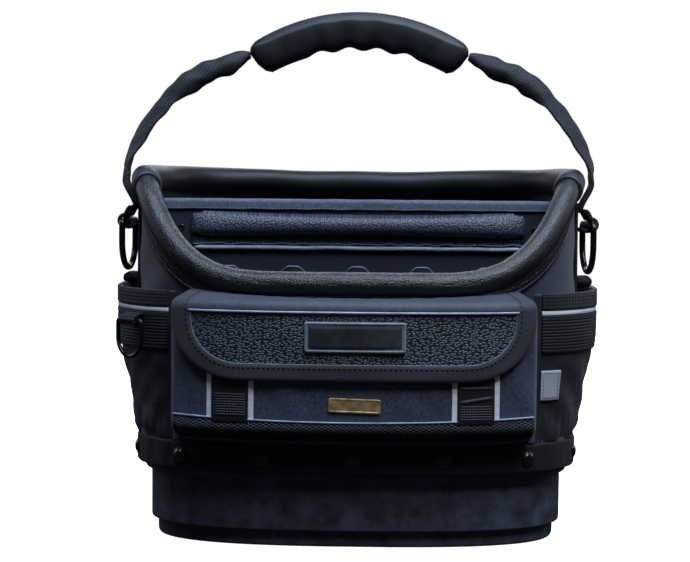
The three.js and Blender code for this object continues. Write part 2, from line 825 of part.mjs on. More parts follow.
function flapPiping() {
  const span = flapHalfSpan - bindingSideWidth;
  const sides = 6;
  const outline = Array.from({ length: sides }, (_, i) => {
    const angle = (2 * Math.PI * i) / sides;
    return new THREE.Vector2(flapPipingRadius * Math.cos(angle), flapPipingRadius * Math.sin(angle));
  });
  const height = flapFrontHeight - flapEdgeRadius;
  const out = flapFaceOut + gap + flapPipingRadius;
  const sections = arcStations(-span, span).map((arc) => outline.map(
    (point) => wallPoint(arc, height + point.y, out + point.x),
  ));
  return sweepGeometry(sections, outline);
}

addPiece("flap_piping", flapPiping(), reflective);

addPiece("badge", trimGeometry({
  arcs: arcStations(-badgeWidth / 2, badgeWidth / 2),
  heights: [badgeCentreHeight - badgeHeight / 2, badgeCentreHeight + badgeHeight / 2],
  outAt: () => flapFaceOut,
  thickness: badgeThickness,
}), rubber);

// Side pockets. Shares of the span from the front edge to the rear, and of the height from the bottom.
const sideSpanShape = [
  { at: 0, value: 0 },
  { at: 0.03, value: 0.2 },
  { at: 0.2, value: 0.62 },
  { at: 0.4, value: 0.95 },
  { at: 0.5, value: 1 },
  { at: 0.75, value: 1 },
  { at: 0.9, value: 0.72 },
  { at: 0.97, value: 0.35 },
  { at: 1, value: 0 },
];
const sideHeightShape = [
  { at: 0, value: 0 },
  { at: 0.06, value: 0.14 },
  { at: 0.16, value: 0.27 },
  { at: 0.42, value: 0.62 },
  { at: 0.66, value: 1 },
  { at: 1, value: 1 },
];
const sideSpan = sidePocketRearArc - sidePocketFrontArc;
const sideHeight = sidePocketTop - sidePocketBottom;
const sideBreaks = sideHeightShape.map(({ at }) => sidePocketBottom + at * sideHeight);

function sidePocketOut(arc, height) {
  const spanShare = (Math.abs(arc) - sidePocketFrontArc) / sideSpan;
  const heightShare = (height - sidePocketBottom) / sideHeight;
  return sidePocketDepth * tableAt(sideSpanShape, spanShare) * tableAt(sideHeightShape, heightShare);
}

function sideArcs(from, to) {
  const breaks = sideSpanShape.map(({ at }) => sidePocketFrontArc + at * sideSpan);
  const inside = breaks.filter((arc) => arc > from + 1 && arc < to - 1);
  const even = arcStations(from, to).filter((arc) => inside.every((mark) => Math.abs(mark - arc) > 3));
  return [...even, ...inside].sort((a, b) => a - b);
}

function sidePocket(sign) {
  const arcs = sideArcs(sidePocketFrontArc, sidePocketRearArc);
  const middleArc = (sidePocketFrontArc + sidePocketRearArc) / 2;
  const outer = arcs.map((arc) => sideBreaks.map(
    (height) => wallPoint(sign * arc, height, gap + sidePocketOut(arc, height)),
  ));
  const inner = arcs.map((arc) => sideBreaks.map((height) => {
    const skin = pocketThickness;
    const innerArc = middleArc + (arc - middleArc) * (1 - (2 * skin) / sideSpan);
    const innerHeight = sidePocketTop - (sidePocketTop - height) * (1 - skin / sideHeight);
    return wallPoint(sign * innerArc, innerHeight, gap + (sidePocketOut(arc, height) * (1 - skin / sidePocketDepth)));
  }));
  return sheetGeometry(outer, inner);
}

const onSidePocket = (arc, height) => gap + sidePocketOut(arc, height);

function sideTrim(sign, from, to, bottom, top, thickness) {
  const arcs = sideArcs(from, to);
  const heights = levels(bottom, top, sideHeight, sideBreaks);
  const face = (lift) => arcs.map((arc) => heights.map(
    (height) => wallPoint(sign * arc, height, onSidePocket(arc, height) + lift),
  ));
  return sheetGeometry(face(gap + thickness), face(gap));
}

const trimFrontArc = sidePocketFrontArc + 0.03 * sideSpan;
const trimRearArc = sidePocketRearArc - 0.03 * sideSpan;
const cuffBottom = sidePocketTop - cuffHeight;
const stripeBottom = cuffBottom - gap - sideStripeHeight;
const webbingBottom = stripeBottom - gap - sideWebbingHeight;
for (const [side, sign] of [["left", -1], ["right", 1]]) {
  const trim = (bottom, top, thickness) => sideTrim(sign, trimFrontArc, trimRearArc, bottom, top, thickness);
  addPiece(`side_pocket_${side}`, sidePocket(sign), nylon);
  addPiece(`side_pocket_cuff_${side}`, trim(cuffBottom, sidePocketTop, trimThickness), nylon);
  addPiece(`side_pocket_stripe_${side}`, trim(stripeBottom, cuffBottom - gap, trimThickness), reflective);
  addPiece(`side_pocket_webbing_${side}`, trim(webbingBottom, stripeBottom - gap, trimThickness), webbing);
}
const labelBottom = labelCentreHeight - labelHeight / 2;
addPiece("side_label", sideTrim(
  1, trimFrontArc, trimFrontArc + labelWidth, labelBottom, labelBottom + labelHeight, trimThickness,
), plainLabel);

// A D-shaped wire: its straight bar lies along X through the origin and the bow hangs below it
function hangingRing(innerWidth, drop, wire) {
  const bow = (innerWidth + wire) / 2;
  const straight = drop - bow;
  const centres = [[-bow, 0], [bow, 0], [bow, -straight]];
  const bowSteps = 6;
  for (let i = 1; i < bowSteps; i += 1) {
    const angle = -(Math.PI * i) / bowSteps;
    centres.push([bow * Math.cos(angle), -straight + bow * Math.sin(angle)]);
  }
  centres.push([-bow, -straight]);
  const sides = 6;
  const sections = centres.map(([x, z], i) => {
    const before = centres[(i + centres.length - 1) % centres.length];
    const after = centres[(i + 1) % centres.length];
    const inwards = new THREE.Vector2(x - before[0], z - before[1]).normalize();
    const onwards = new THREE.Vector2(after[0] - x, after[1] - z).normalize();
    const tangent = inwards.clone().add(onwards).normalize();
    const stretch = 1 / Math.max(0.7, tangent.dot(onwards));
    const normal = new THREE.Vector2(-tangent.y, tangent.x);
    return Array.from({ length: sides }, (_, k) => {
      const angle = (2 * Math.PI * k) / sides;
      const across = (wire / 2) * stretch * Math.cos(angle);
      return new THREE.Vector3(x + normal.x * across, (wire / 2) * Math.sin(angle), z + normal.y * across);
    });
  });
  const outline = Array.from({ length: sides }, (_, k) => {
    const angle = (2 * Math.PI * k) / sides;
    return new THREE.Vector2(Math.cos(angle), Math.sin(angle));
  });
  return sweepGeometry(sections, outline, true);
}

// Webbing folded round a bar along X at the origin, its two ends against what it is sewn to at y = -reach
function webbingLoop(width, thickness, barRadius, reach, tailSpread) {
  const inner = barRadius + gap;
  const outer = inner + thickness;
  const shape = new THREE.Shape();
  shape.moveTo(-reach, tailSpread);
  shape.absarc(0, 0, outer, Math.PI / 2, -Math.PI / 2, true);
  shape.lineTo(-reach, -outer);
  shape.lineTo(-reach, -inner);
  shape.absarc(0, 0, inner, -Math.PI / 2, Math.PI / 2, false);
  shape.lineTo(-reach, tailSpread - thickness);
  shape.closePath();
  const loop = new THREE.ExtrudeGeometry(shape, { depth: width, bevelEnabled: false, curveSegments: 4 });
  loop.rotateX(Math.PI / 2);
  loop.rotateZ(Math.PI / 2);
  loop.translate(-width / 2, 0, 0);
  return loop;
}

// A group whose +Y looks out along a normal of the wall, turned by an angle
function placeOut(position, normalAngle) {
  const group = new THREE.Group();
  group.position.copy(position);
  group.rotation.z = normalAngle - Math.PI / 2;
  tote.add(group);
  return group;
}

const degrees = Math.PI / 180;
for (const [side, sign] of [["left", -1], ["right", 1]]) {
  const strapArcs = arcStations(sideArc - strapWidth / 2, sideArc + strapWidth / 2).map((arc) => sign * arc);
  addPiece(`side_strap_${side}`, trimGeometry({
    arcs: strapArcs,
    heights: [sideStrapBottom, sideStrapTop],
    outAt: () => 0,
    thickness: sideStrapThickness,
  }), webbing);
  const strapFace = gap + sideStrapThickness;
  const bar = wallPoint(sign * sideArc, ringBarHeight, strapFace + ringStandOff);
  const yaw = ringYaw * degrees;
  const ringPlace = placeOut(bar, sign > 0 ? yaw : Math.PI - yaw);
  const loopReach = (ringStandOff - gap - (loopWidth / 2) * Math.sin(yaw)) / Math.cos(yaw);
  const loop = webbingLoop(loopWidth, loopThickness, ringWire / 2, loopReach, ringTailSpread);
  addPiece(`ring_loop_${side}`, loop, webbing, ringPlace);
  addPiece(`side_ring_${side}`, hangingRing(ringInnerWidth, ringDrop, ringWire), blackMetal, ringPlace);
  const endPlace = placeOut(wallPoint(sign * sideArc, strapEndBottom, strapFace + gap), sign > 0 ? 0 : Math.PI);
  const end = new THREE.BoxGeometry(strapEndWidth, strapEndReach, strapEndHeight);
  end.translate(0, strapEndReach / 2, strapEndHeight / 2);
  addPiece(`strap_end_${side}`, end, webbing, endPlace);
}

const ringAt = planAt(-smallRingArc);
const ringFace = onSidePocket(smallRingArc, smallRingBarHeight) + gap + trimThickness;
const smallTurn = Math.atan2(ringAt.ny, ringAt.nx) + smallRingTurn * degrees;
const smallPlace = placeOut(wallPoint(-smallRingArc, smallRingBarHeight, ringFace + smallRingStandOff), smallTurn);
addPiece("d_ring_tab", webbingLoop(
  smallLoopWidth, smallLoopThickness, smallRingWire / 2, smallRingStandOff - 2 * gap, smallRingTailSpread,
), webbing, smallPlace);
addPiece("d_ring", hangingRing(smallRingInnerWidth, smallRingDrop, smallRingWire), blackMetal, smallPlace);

// Grip: an arched bar with finger hollows along its underside
function gripTopAt(x) {
  return gripTop - gripTopRadius + Math.sqrt(gripTopRadius ** 2 - x ** 2);
}

function gripBottomAt(x) {
  const arch = gripTop - gripHeight - gripBottomRadius + Math.sqrt(gripBottomRadius ** 2 - x ** 2);
  const fromFingers = (x - fingerOffset) / fingerPitch;
  if (Math.abs(fromFingers) > fingerCount / 2) return arch;
  return arch + fingerDepth * Math.sin(Math.PI * (fromFingers + fingerCount / 2)) ** 2;
}

// Its height left near the ends, where the underside slants up: shares of the half-length and height
const gripEndShape = [
  { at: 0.8, value: 1 },
  { at: 0.86, value: 0.88 },
  { at: 1, value: 0.25 },
];

function grip() {
  const sides = 8;
  const outline = Array.from({ length: sides }, (_, i) => {
    const angle = (2 * Math.PI * (i + 0.5)) / sides;
    const square = (value) => Math.sign(value) * Math.abs(value) ** gripRoundness;
    return new THREE.Vector2(square(Math.cos(angle)), square(Math.sin(angle)));
  });
  const slant = gripEndShape.slice(0, -1).map(({ at }) => gripHalfLength * (1 - at)).reverse();
  const ends = [...riseStations(gripEndRun, 2), ...slant];
  const flat = gripHalfLength * gripEndShape[0].at;
  const xs = [
    ...ends.map((d) => d - gripHalfLength),
    ...levels(-flat, flat, fingerPitch / 3).slice(1, -1),
    ...ends.map((d) => gripHalfLength - d).reverse(),
  ];
  const sections = xs.map((x) => {
    const rise = edgeRise(gripHalfLength - Math.abs(x), gripEndRun);
    const share = tableAt(gripEndShape, Math.abs(x) / gripHalfLength);
    const top = gripTopAt(x) - gripEndDrop * (1 - rise);
    const bottom = gripTopAt(x) - (gripTopAt(x) - gripBottomAt(x)) * share;
    const halfWidth = gripHalfWidth * THREE.MathUtils.lerp(gripEndWidth, 1, rise);
    return outline.map((point) => new THREE.Vector3(
      x,
      halfWidth * point.x,
      (top + bottom + (top - bottom) * point.y) / 2,
    ));
  });
  return sweepGeometry(sections, outline);
}

addPiece("grip", grip(), rubber);

// Handle straps, from the side strap up past the rim to the grip's end. Shares of the run in and up
// from beside the rim to the grip, how far the strap is folded over, and how much it is drawn together.
const handleShape = [
  { in: 0.0, up: 0.0, fold: 0.15, size: 1 },
  { in: 0.04, up: 0.12, fold: 0.25, size: 1 },
  { in: 0.11, up: 0.29, fold: 0.3, size: 1 },
  { in: 0.2, up: 0.44, fold: 0.32, size: 1 },
  { in: 0.32, up: 0.59, fold: 0.5, size: 1 },
  { in: 0.46, up: 0.72, fold: 0.85, size: 1 },
  { in: 0.64, up: 0.84, fold: 0.9, size: 1 },
  { in: 0.82, up: 0.92, fold: 0.9, size: 0.92 },
  { in: 0.94, up: 0.98, fold: 0.9, size: 0.5 },
  { in: 1.0, up: 1.0, fold: 0.9, size: 0.25 },
];

// The strap's section, flat and folded over along its middle, in shares of its width
const strapSection = [
  { flatAcross: -0.5, foldAcross: -0.08, foldUp: -0.24 },
  { flatAcross: -0.33, foldAcross: -0.19, foldUp: -0.13 },
  { flatAcross: -0.17, foldAcross: -0.21, foldUp: 0.02 },
  { flatAcross: 0, foldAcross: -0.06, foldUp: 0.2 },
  { flatAcross: 0.17, foldAcross: 0.1, foldUp: 0.13 },
  { flatAcross: 0.33, foldAcross: 0.17, foldUp: -0.03 },
  { flatAcross: 0.5, foldAcross: 0.14, foldUp: -0.22 },
];

function handleRows() {
  const half = handleStrapThickness / 2;
  const footX = bodyHalfWidth + gap + sideStrapThickness + gap + half;
  const rimX = bodyHalfWidth - wallThickness / 2 + rearRollRadius + handleRimClearance + half;
  const rimZ = sideRimHeight + handleRimRise;
  const endX = gripHalfLength + gap;
  const endZ = gripTopAt(gripHalfLength) - handleEndDrop;
  const rows = [
    { x: footX, z: sideRimHeight - handleFootDrop, fold: 0, size: 1 },
    { x: footX + (rimX - footX) / 4, z: sideRimHeight - (3 * handleFootDrop) / 4, fold: 0, size: 1 },
    { x: rimX, z: sideRimHeight - rearRollRadius / 3, fold: 0, size: 1 },
    { x: rimX, z: sideRimHeight + rearRollRadius / 3, fold: 0, size: 1 },
  ];
  for (const row of handleShape) {
    rows.push({ ...row, x: rimX + (endX - rimX) * row.in, z: rimZ + (endZ - rimZ) * row.up });
  }
  return rows;
}

function handleStrap(sign) {
  const rows = handleRows();
  const half = handleStrapThickness / 2;
  const sections = rows.map((row, i) => {
    const isLast = i === rows.length - 1;
    const before = rows[isLast ? i : Math.max(0, i - 1)];
    const after = isLast ? { x: 0, z: row.z } : rows[i + 1];
    const tangent = new THREE.Vector2(after.x - before.x, after.z - before.z).normalize();
    const width = strapWidth * row.size;
    const line = strapSection.map(({ flatAcross, foldAcross, foldUp }) => new THREE.Vector2(
      width * THREE.MathUtils.lerp(flatAcross, foldAcross, row.fold),
      width * row.fold * foldUp,
    ));
    return (side) => line.map((point, k) => {
      const along = line[Math.min(line.length - 1, k + 1)].clone().sub(line[Math.max(0, k - 1)]).normalize();
      const across = point.x - side * half * along.y;
      const up = point.y + side * half * along.x;
      return new THREE.Vector3(sign * (row.x + tangent.y * up), across, row.z - tangent.x * up);
    });
  });
  return sheetGeometry(sections.map((at) => at(1)), sections.map((at) => at(-1)));
}

addPiece("handle_strap_left", handleStrap(-1), webbing);
addPiece("handle_strap_right", handleStrap(1), webbing);

export default tote;
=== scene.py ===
"""Open top tool tote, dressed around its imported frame. Sizes are in millimetres until a mesh is made.

The front faces -Y. A place near the body's wall is given by its arc length from the front centre
(positive towards +X), its height, and its distance out from the wall's outer face.
"""
import math
import random

import bmesh
import bpy
import numpy as np
from mathutils import Matrix, Vector


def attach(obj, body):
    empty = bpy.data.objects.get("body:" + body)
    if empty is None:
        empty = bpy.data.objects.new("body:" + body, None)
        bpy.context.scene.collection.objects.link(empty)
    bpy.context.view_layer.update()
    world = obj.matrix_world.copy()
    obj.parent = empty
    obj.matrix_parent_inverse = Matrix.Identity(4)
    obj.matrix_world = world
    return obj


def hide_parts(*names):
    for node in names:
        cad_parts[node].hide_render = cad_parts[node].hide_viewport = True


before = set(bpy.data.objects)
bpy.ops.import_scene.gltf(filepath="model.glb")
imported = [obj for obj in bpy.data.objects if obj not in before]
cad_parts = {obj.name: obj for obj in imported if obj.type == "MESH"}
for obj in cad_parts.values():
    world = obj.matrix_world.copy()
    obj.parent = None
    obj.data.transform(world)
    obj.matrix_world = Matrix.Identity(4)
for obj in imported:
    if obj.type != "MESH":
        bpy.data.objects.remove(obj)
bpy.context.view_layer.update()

MM = 0.001
TURN = 2 * math.pi

# Body and base
BODY_HALF_WIDTH, BODY_HALF_DEPTH, PLAN_POWER = 171.0, 115.5, 2.7
WALL = 6.0
GAP = 0.3
PLINTH_OUT, TUB_OUT, LIP_OUT = -15.0, -9.4, -4.8
LIP_BOTTOM, LIP_TOP = 51.5, 57.0
BAND_TOP, BAND_OUT = 79.0, 1.8
RIVET_HEIGHT, RIVET_COUNT, RIVET_RADIUS, RIVET_DOME = 68.0, 14, 5.75, 2.5

# Rim
FRONT_RIM, SIDE_RIM, REAR_RIM = 201.0, 277.0, 271.0
SCOOP_START, SCOOP_END, SCOOP_POWER = 50.0, 210.0, 1.8
ROLL_JOINT, JOINT_RUN = 196.0, 20.0
FRONT_ROLL, REAR_ROLL = 9.5, 11.0
REAR_SKIRT, INNER_SKIRT, REAR_INNER_SKIRT = 14.0, 12.0, 16.0
SKIRT = 1.5

# Divider
DIVIDER_FRONT, DIVIDER_THICK, DIVIDER_TOP, DIVIDER_SIDE_TOP = 2.0, 6.0, 261.0, 243.0
BOLSTER_HALF, BOLSTER_TOP, BOLSTER_HIGH, BOLSTER_DEEP = 134.0, 254.0, 24.0, 10.0
DIVIDER_PIPING = 223.0
STRIP_TOP, STRIP_HIGH, STRIP_HALF = 209.0, 60.0, 130.0
LOOP_RADIUS, LOOP_PITCH, LOOP_COUNT = 9.0, 51.0, 5

# Front pocket and flap
POCKET_SPAN, POCKET_BOTTOM, POCKET_TOP = 137.0, 82.0, 181.0
POCKET_DEEP, POCKET_SIDE_RUN, POCKET_LOW_RUN = 23.0, 12.0, 14.0
SKIN = 2.0
FLAP_SPAN, FLAP_BOTTOM, FLAP_CORNER, FLAP_THICK = 127.0, 130.5, 46.0, 2.0
FLAP_REAR, FLAP_REAR_RISE, FLAP_REAR_OUT = 187.6, 5.5, 2.1
FLAP_FRONT, FLAP_TURN, FLAP_FRONT_OUT = 188.0, 5.0, 25.9
BINDING_SIDE, BINDING_LOW = 12.5, 10.0
LADDER_ARC, TAPE_HALF, WEB_HALF, RIB_HALF = 87.0, 16.4, 12.8, 11.4
LADDER_TOP, MESH_TOP = 141.0, 100.0

# Side pockets
SIDE_FRONT, SIDE_REAR, SIDE_BOTTOM, SIDE_TOP, SIDE_DEEP = 142.0, 306.0, 80.0, 194.0, 16.5
TRIM_FRONT, TRIM_REAR = 146.9, 301.1
CUFF_BOTTOM, STRIPE_BOTTOM, WEBBING_BOTTOM = 181.0, 177.2, 147.9

# Straps, rings and handle
STRAP_WIDE = 38.0
RING_WIRE, RING_WIDE, RING_DROP, RING_HEIGHT, RING_YAW = 5.0, 38.0, 37.5, 244.0, 8.0
RING_STAND, SMALL_STAND = 8.5, 6.6
SMALL_WIRE, SMALL_WIDE, SMALL_DROP, SMALL_HEIGHT = 3.5, 25.0, 28.5, 170.0
GRIP_HALF, GRIP_TOP, GRIP_TOP_RADIUS, GRIP_HIGH, GRIP_LOW_RADIUS = 86.0, 410.0, 155.0, 30.6, 145.0
GRIP_WIDE = 15.0
FINGER_PITCH, FINGER_COUNT, FINGER_OFFSET, FINGER_DEEP = 23.0, 4, 3.0, 3.0


# Shapes
def ease(x):
    x = np.clip(x, 0, 1)
    return x * x * (3 - 2 * x)


def quarter_rise(distance, run):
    share = np.clip(np.asarray(distance, float) / run, 0, 1)
    return np.sqrt(np.clip(1 - (1 - share) ** 2, 0, 1))


def measure_plan():
    angle = np.linspace(0, math.pi, 4001)
    x = BODY_HALF_WIDTH * np.abs(np.sin(angle)) ** (2 / PLAN_POWER)
    along = -np.cos(angle)
    y = BODY_HALF_DEPTH * np.sign(along) * np.abs(along) ** (2 / PLAN_POWER)
    arc = np.concatenate([[0], np.cumsum(np.hypot(np.diff(x), np.diff(y)))])
    return arc, x, y


PLAN_ARC, PLAN_X, PLAN_Y = measure_plan()
HALF = PLAN_ARC[-1]
ROUND = 2 * HALF
SIDE_ARC = HALF / 2


def wrap(arc):
    return (np.asarray(arc, float) + HALF) % ROUND - HALF


def plan(arc):
    arc = wrap(arc)
    side = np.where(arc < 0, -1.0, 1.0)
    x = np.interp(np.abs(arc), PLAN_ARC, PLAN_X)
    y = np.interp(np.abs(arc), PLAN_ARC, PLAN_Y)
    nx = np.abs(x / BODY_HALF_WIDTH) ** (PLAN_POWER - 1) / BODY_HALF_WIDTH
    ny = np.sign(y) * np.abs(y / BODY_HALF_DEPTH) ** (PLAN_POWER - 1) / BODY_HALF_DEPTH
    size = np.hypot(nx, ny)
    return side * x, y, side * nx / size, ny / size


def wall(arc, height, out):
    arc, height, out = np.broadcast_arrays(*(np.asarray(v, float) for v in (arc, height, out)))
    x, y, nx, ny = plan(arc)
    return np.stack([x + nx * out, y + ny * out, height], -1)


def rim_height(arc):
    reach = np.abs(wrap(arc))
    share = np.clip((reach - SCOOP_START) / (SCOOP_END - SCOOP_START), 0, 1) ** SCOOP_POWER
    front = FRONT_RIM + (SIDE_RIM - FRONT_RIM) * ease(share)
    back = SIDE_RIM + (REAR_RIM - SIDE_RIM) * ease((reach - SCOOP_END) / (HALF - SCOOP_END))
    return np.where(reach <= SCOOP_END, front, back)


def ripple(u, v, length_u, length_v, seed, count=6):
    """Smooth seeded unevenness from about -1 to 1, which closes on itself round the body."""
    rng = random.Random(seed)
    total = 0.0
    for _ in range(count):
        fu = round((0.5 + rng.random()) / length_u * ROUND) / ROUND * rng.choice((-1, 1))
        fv = (0.5 + rng.random()) / length_v
        total = total + np.cos(TURN * (fu * u + fv * v) + rng.uniform(0, TURN))
    return total / math.sqrt(count)


def spline(rows, at):
    """Smooth curve through rows of numbers, at positions counted in rows."""
    rows = np.asarray(rows, float)
    padded = np.concatenate([[2 * rows[0] - rows[1]], rows, [2 * rows[-1] - rows[-2]]])
    at = np.clip(np.asarray(at, float), 0, len(rows) - 1 - 1e-9)
    i = at.astype(int)
    t = (at - i)[..., None]
    a, b, c, d = (padded[i + k] for k in range(4))
    return b + 0.5 * t * (c - a + t * (2 * a - 5 * b + 4 * c - d + t * (3 * (b - c) + d - a)))


def fillet(points, radii, steps=4, closed=False):
    """A polyline with its corners rounded."""
    points = [np.asarray(p, float) for p in points]
    count = len(points)
    done = []
    for i, point in enumerate(points):
        if not closed and i in (0, count - 1):
            done.append(point)
            continue
        before, after = points[i - 1], points[(i + 1) % count]
        radius = radii[i] if hasattr(radii, "__len__") else radii
        to_before, to_after = before - point, after - point
        reach = min(radius, 0.45 * np.linalg.norm(to_before), 0.45 * np.linalg.norm(to_after))
        start = point + to_before / np.linalg.norm(to_before) * reach
        end = point + to_after / np.linalg.norm(to_after) * reach
        for k in range(steps + 1):
            t = k / steps
            done.append((1 - t) ** 2 * start + 2 * t * (1 - t) * point + t * t * end)
    return np.array(done)


def resample(points, step):
    points = np.asarray(points, float)
    length = np.concatenate([[0], np.cumsum(np.linalg.norm(np.diff(points, axis=0), axis=1))])
    at = np.linspace(0, length[-1], max(2, int(round(length[-1] / step)) + 1))
    return np.stack([np.interp(at, length, points[:, k]) for k in range(points.shape[1])], -1)


def run_lengths(points, axis):
    step = np.linalg.norm(np.diff(points, axis=axis), axis=-1).mean(axis=1 - axis)
    return np.concatenate([[0], np.cumsum(step)])


# Meshes
def make_object(name, verts, faces, corner_uvs, looks, face_looks=None, smooth=True):
    mesh = bpy.data.meshes.new(name)
    mesh.from_pydata((np.asarray(verts) * MM).tolist(), [], [list(map(int, f)) for f in faces])
    layer = mesh.uv_layers.new(name="UVMap")
    layer.data.foreach_set("uv", (np.asarray(corner_uvs, float) * MM).ravel())
    for look in looks:
        mesh.materials.append(look)
    mesh.polygons.foreach_set("use_smooth", [smooth] * len(mesh.polygons))
    if face_looks is not None:
        mesh.polygons.foreach_set("material_index", [int(k) for k in face_looks])
    work = bmesh.new()
    work.from_mesh(mesh)
    bmesh.ops.recalc_face_normals(work, faces=work.faces)
    work.to_mesh(mesh)
    work.free()
    mesh.update()
    obj = bpy.data.objects.new(name, mesh)
    bpy.context.scene.collection.objects.link(obj)
    return obj


def sweep(name, points, look, wrap_i=False, caps=True, uv=None):
    """A tube through closed sections: points are (section, point of its outline, xyz)."""
    n, m, _ = points.shape
    loop_points = np.concatenate([points, points[:, :1]], axis=1)
    ring_points = np.concatenate([loop_points, loop_points[:1]], axis=0) if wrap_i else loop_points
    u, v = uv if uv is not None else (run_lengths(ring_points, 0), run_lengths(ring_points, 1))
    faces, uvs = [], []
    for i in range(n if wrap_i else n - 1):
        k = (i + 1) % n
        for j in range(m):
            q = (j + 1) % m
            faces.append((i * m + j, k * m + j, k * m + q, i * m + q))
            uvs += [(u[i], v[j]), (u[i + 1], v[j]), (u[i + 1], v[j + 1]), (u[i], v[j + 1])]
    if caps and not wrap_i:
        for i in (0, n - 1):
            faces.append([i * m + j for j in range(m)])
            middle = points[i].mean(axis=0)
            spread = points[i] - middle
            axis = spread[np.argmax(np.linalg.norm(spread, axis=1))]
            axis = axis / np.linalg.norm(axis)
            across = spread @ axis
            rest = spread - across[:, None] * axis
            uvs += list(zip(across + u[i], np.linalg.norm(rest, axis=1)))
    return make_object(name, points.reshape(-1, 3), faces, uvs, [look])


def shell(name, outer, inner, look, wrap_i=False, uv=None, inner_look=None):
    """A skin between two grids of points (i, j, xyz), closed along its edges."""
    n, m, _ = outer.shape
    ring = np.concatenate([outer, outer[:1]], axis=0) if wrap_i else outer
    u, v = uv if uv is not None else (run_lengths(ring, 0), run_lengths(ring, 1))
    u, v = np.asarray(u, float), np.asarray(v, float)
    if u.ndim == 1:
        u, v = np.meshgrid(u, v, indexing="ij")
    faces, uvs, kinds = [], [], []
    base = n * m
    for i in range(n if wrap_i else n - 1):
        k = (i + 1) % n
        for j in range(m - 1):
            corner = [(u[i, j], v[i, j]), (u[i + 1, j], v[i + 1, j]),
                      (u[i + 1, j + 1], v[i + 1, j + 1]), (u[i, j + 1], v[i, j + 1])]
            quad = (i * m + j, k * m + j, k * m + j + 1, i * m + j + 1)
            faces.append(quad)
            faces.append(tuple(base + q for q in reversed(quad)))
            uvs += corner + corner[::-1]
            kinds += [0, 1]
        for j in (0, m - 1):
            faces.append((i * m + j, k * m + j, base + k * m + j, base + i * m + j))
            edge = [(u[i, j], v[i, j]), (u[i + 1, j], v[i + 1, j])]
            uvs += edge + [(c[0], c[1] - SKIN) for c in edge[::-1]]
            kinds.append(0)
    if not wrap_i:
        for i in (0, n - 1):
            for j in range(m - 1):
                faces.append((i * m + j, i * m + j + 1, base + i * m + j + 1, base + i * m + j))
                edge = [(u[i, j], v[i, j]), (u[i, j + 1], v[i, j + 1])]
                uvs += edge + [(c[0] - SKIN, c[1]) for c in edge[::-1]]
                kinds.append(0)
    verts = np.concatenate([outer.reshape(-1, 3), inner.reshape(-1, 3)])
    looks = [look] if inner_look is None else [look, inner_look]
    return make_object(name, verts, faces, uvs, looks, None if inner_look is None else kinds)


def soften(obj, width, segments=2, angle=38):
    """Rounds the sharp edges of a piece."""
    bevel = obj.modifiers.new("rounding", "BEVEL")
    bevel.width = width * MM
    bevel.segments = segments
    bevel.limit_method = "ANGLE"
    bevel.angle_limit = math.radians(angle)
    bevel.use_clamp_overlap = True
    normals = obj.modifiers.new("shading", "WEIGHTED_NORMAL")
    normals.keep_sharp = False
    normals.weight = 60
    return obj


def front_uv(obj, lean=0.0):
    """Flat UVs from the front; lean adds depth to height where a face slopes back."""
    layers = obj.data.uv_layers
    layer = (layers[0] if len(layers) else layers.new(name="UVMap")).data
    for loop in obj.data.loops:
        point = obj.data.vertices[loop.vertex_index].co
        layer[loop.index].uv = (point.x, point.z + lean * point.y)


def place(obj, slot, *nodes, body="tote"):
    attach(obj, body)
    if nodes:
        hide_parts(*nodes)
    return obj


def on_wall(arcs, heights, outs):
    """Grid of wall points; outs is a number, an array or a function of (arc, height)."""
    a, z = np.meshgrid(np.asarray(arcs, float), np.asarray(heights, float), indexing="ij")
    out = outs(a, z) if callable(outs) else outs
    return wall(a, z, out)


def wall_skin(name, arcs, heights, outer, inner, look, wrap_i=False, inner_look=None):
    """A skin over the wall with its UVs in arc length and height."""
    arcs = np.asarray(arcs, float)
    u = np.append(arcs, arcs[0] + ROUND) if wrap_i else arcs
    return shell(name, on_wall(arcs, heights, outer), on_wall(arcs, heights, inner), look,
                 wrap_i=wrap_i, uv=(u, np.asarray(heights, float)), inner_look=inner_look)


def spaced(start, end, step):
    return np.linspace(start, end, max(2, int(math.ceil(abs(end - start) / step)) + 1))


def rounded_run(start, end, step, edge):
    """Positions from start to end, closer together within an edge's rounding."""
    near = edge * (1 - np.cos(np.linspace(0, math.pi / 2, 9)))
    middle = spaced(start + edge, end - edge, step)[1:-1]
    return np.concatenate([start + near, middle, (end - near)[::-1]])


def edge_run(start, end, step, edge=0.5):
    inner = spaced(start + edge, end - edge, step)
    return np.concatenate([[start, start + edge / 3], inner, [end - edge / 3, end]])


def tube(name, centres, radius, look, sides=12, closed=False, radii=None):
    """A round cord along points."""
    centres = np.asarray(centres, float)
    after = np.roll(centres, -1, 0)
    before = np.roll(centres, 1, 0)
    if not closed:
        after[-1], before[0] = centres[-1], centres[0]
    tangent = after - before
    tangent /= np.linalg.norm(tangent, axis=1)[:, None]
    helper = np.array([0, 0, 1.0]) if np.abs(tangent[:, 2]).max() < 0.95 else np.array([0, 1.0, 0])
    if np.abs(tangent @ helper).max() > 0.98:
        helper = np.array([0.3, 0.9, 0.3])
    side = np.cross(tangent, helper)
    side /= np.linalg.norm(side, axis=1)[:, None]
    up = np.cross(side, tangent)
    turns = TURN * np.arange(sides) / sides
    size = np.full(len(centres), radius) if radii is None else np.asarray(radii, float)
    points = (centres[:, None] + size[:, None, None] * (side[:, None] * np.cos(turns)[None, :, None]
                                                        + up[:, None] * np.sin(turns)[None, :, None]))
    return sweep(name, points, look, wrap_i=closed)


STITCH_SIDES = 6


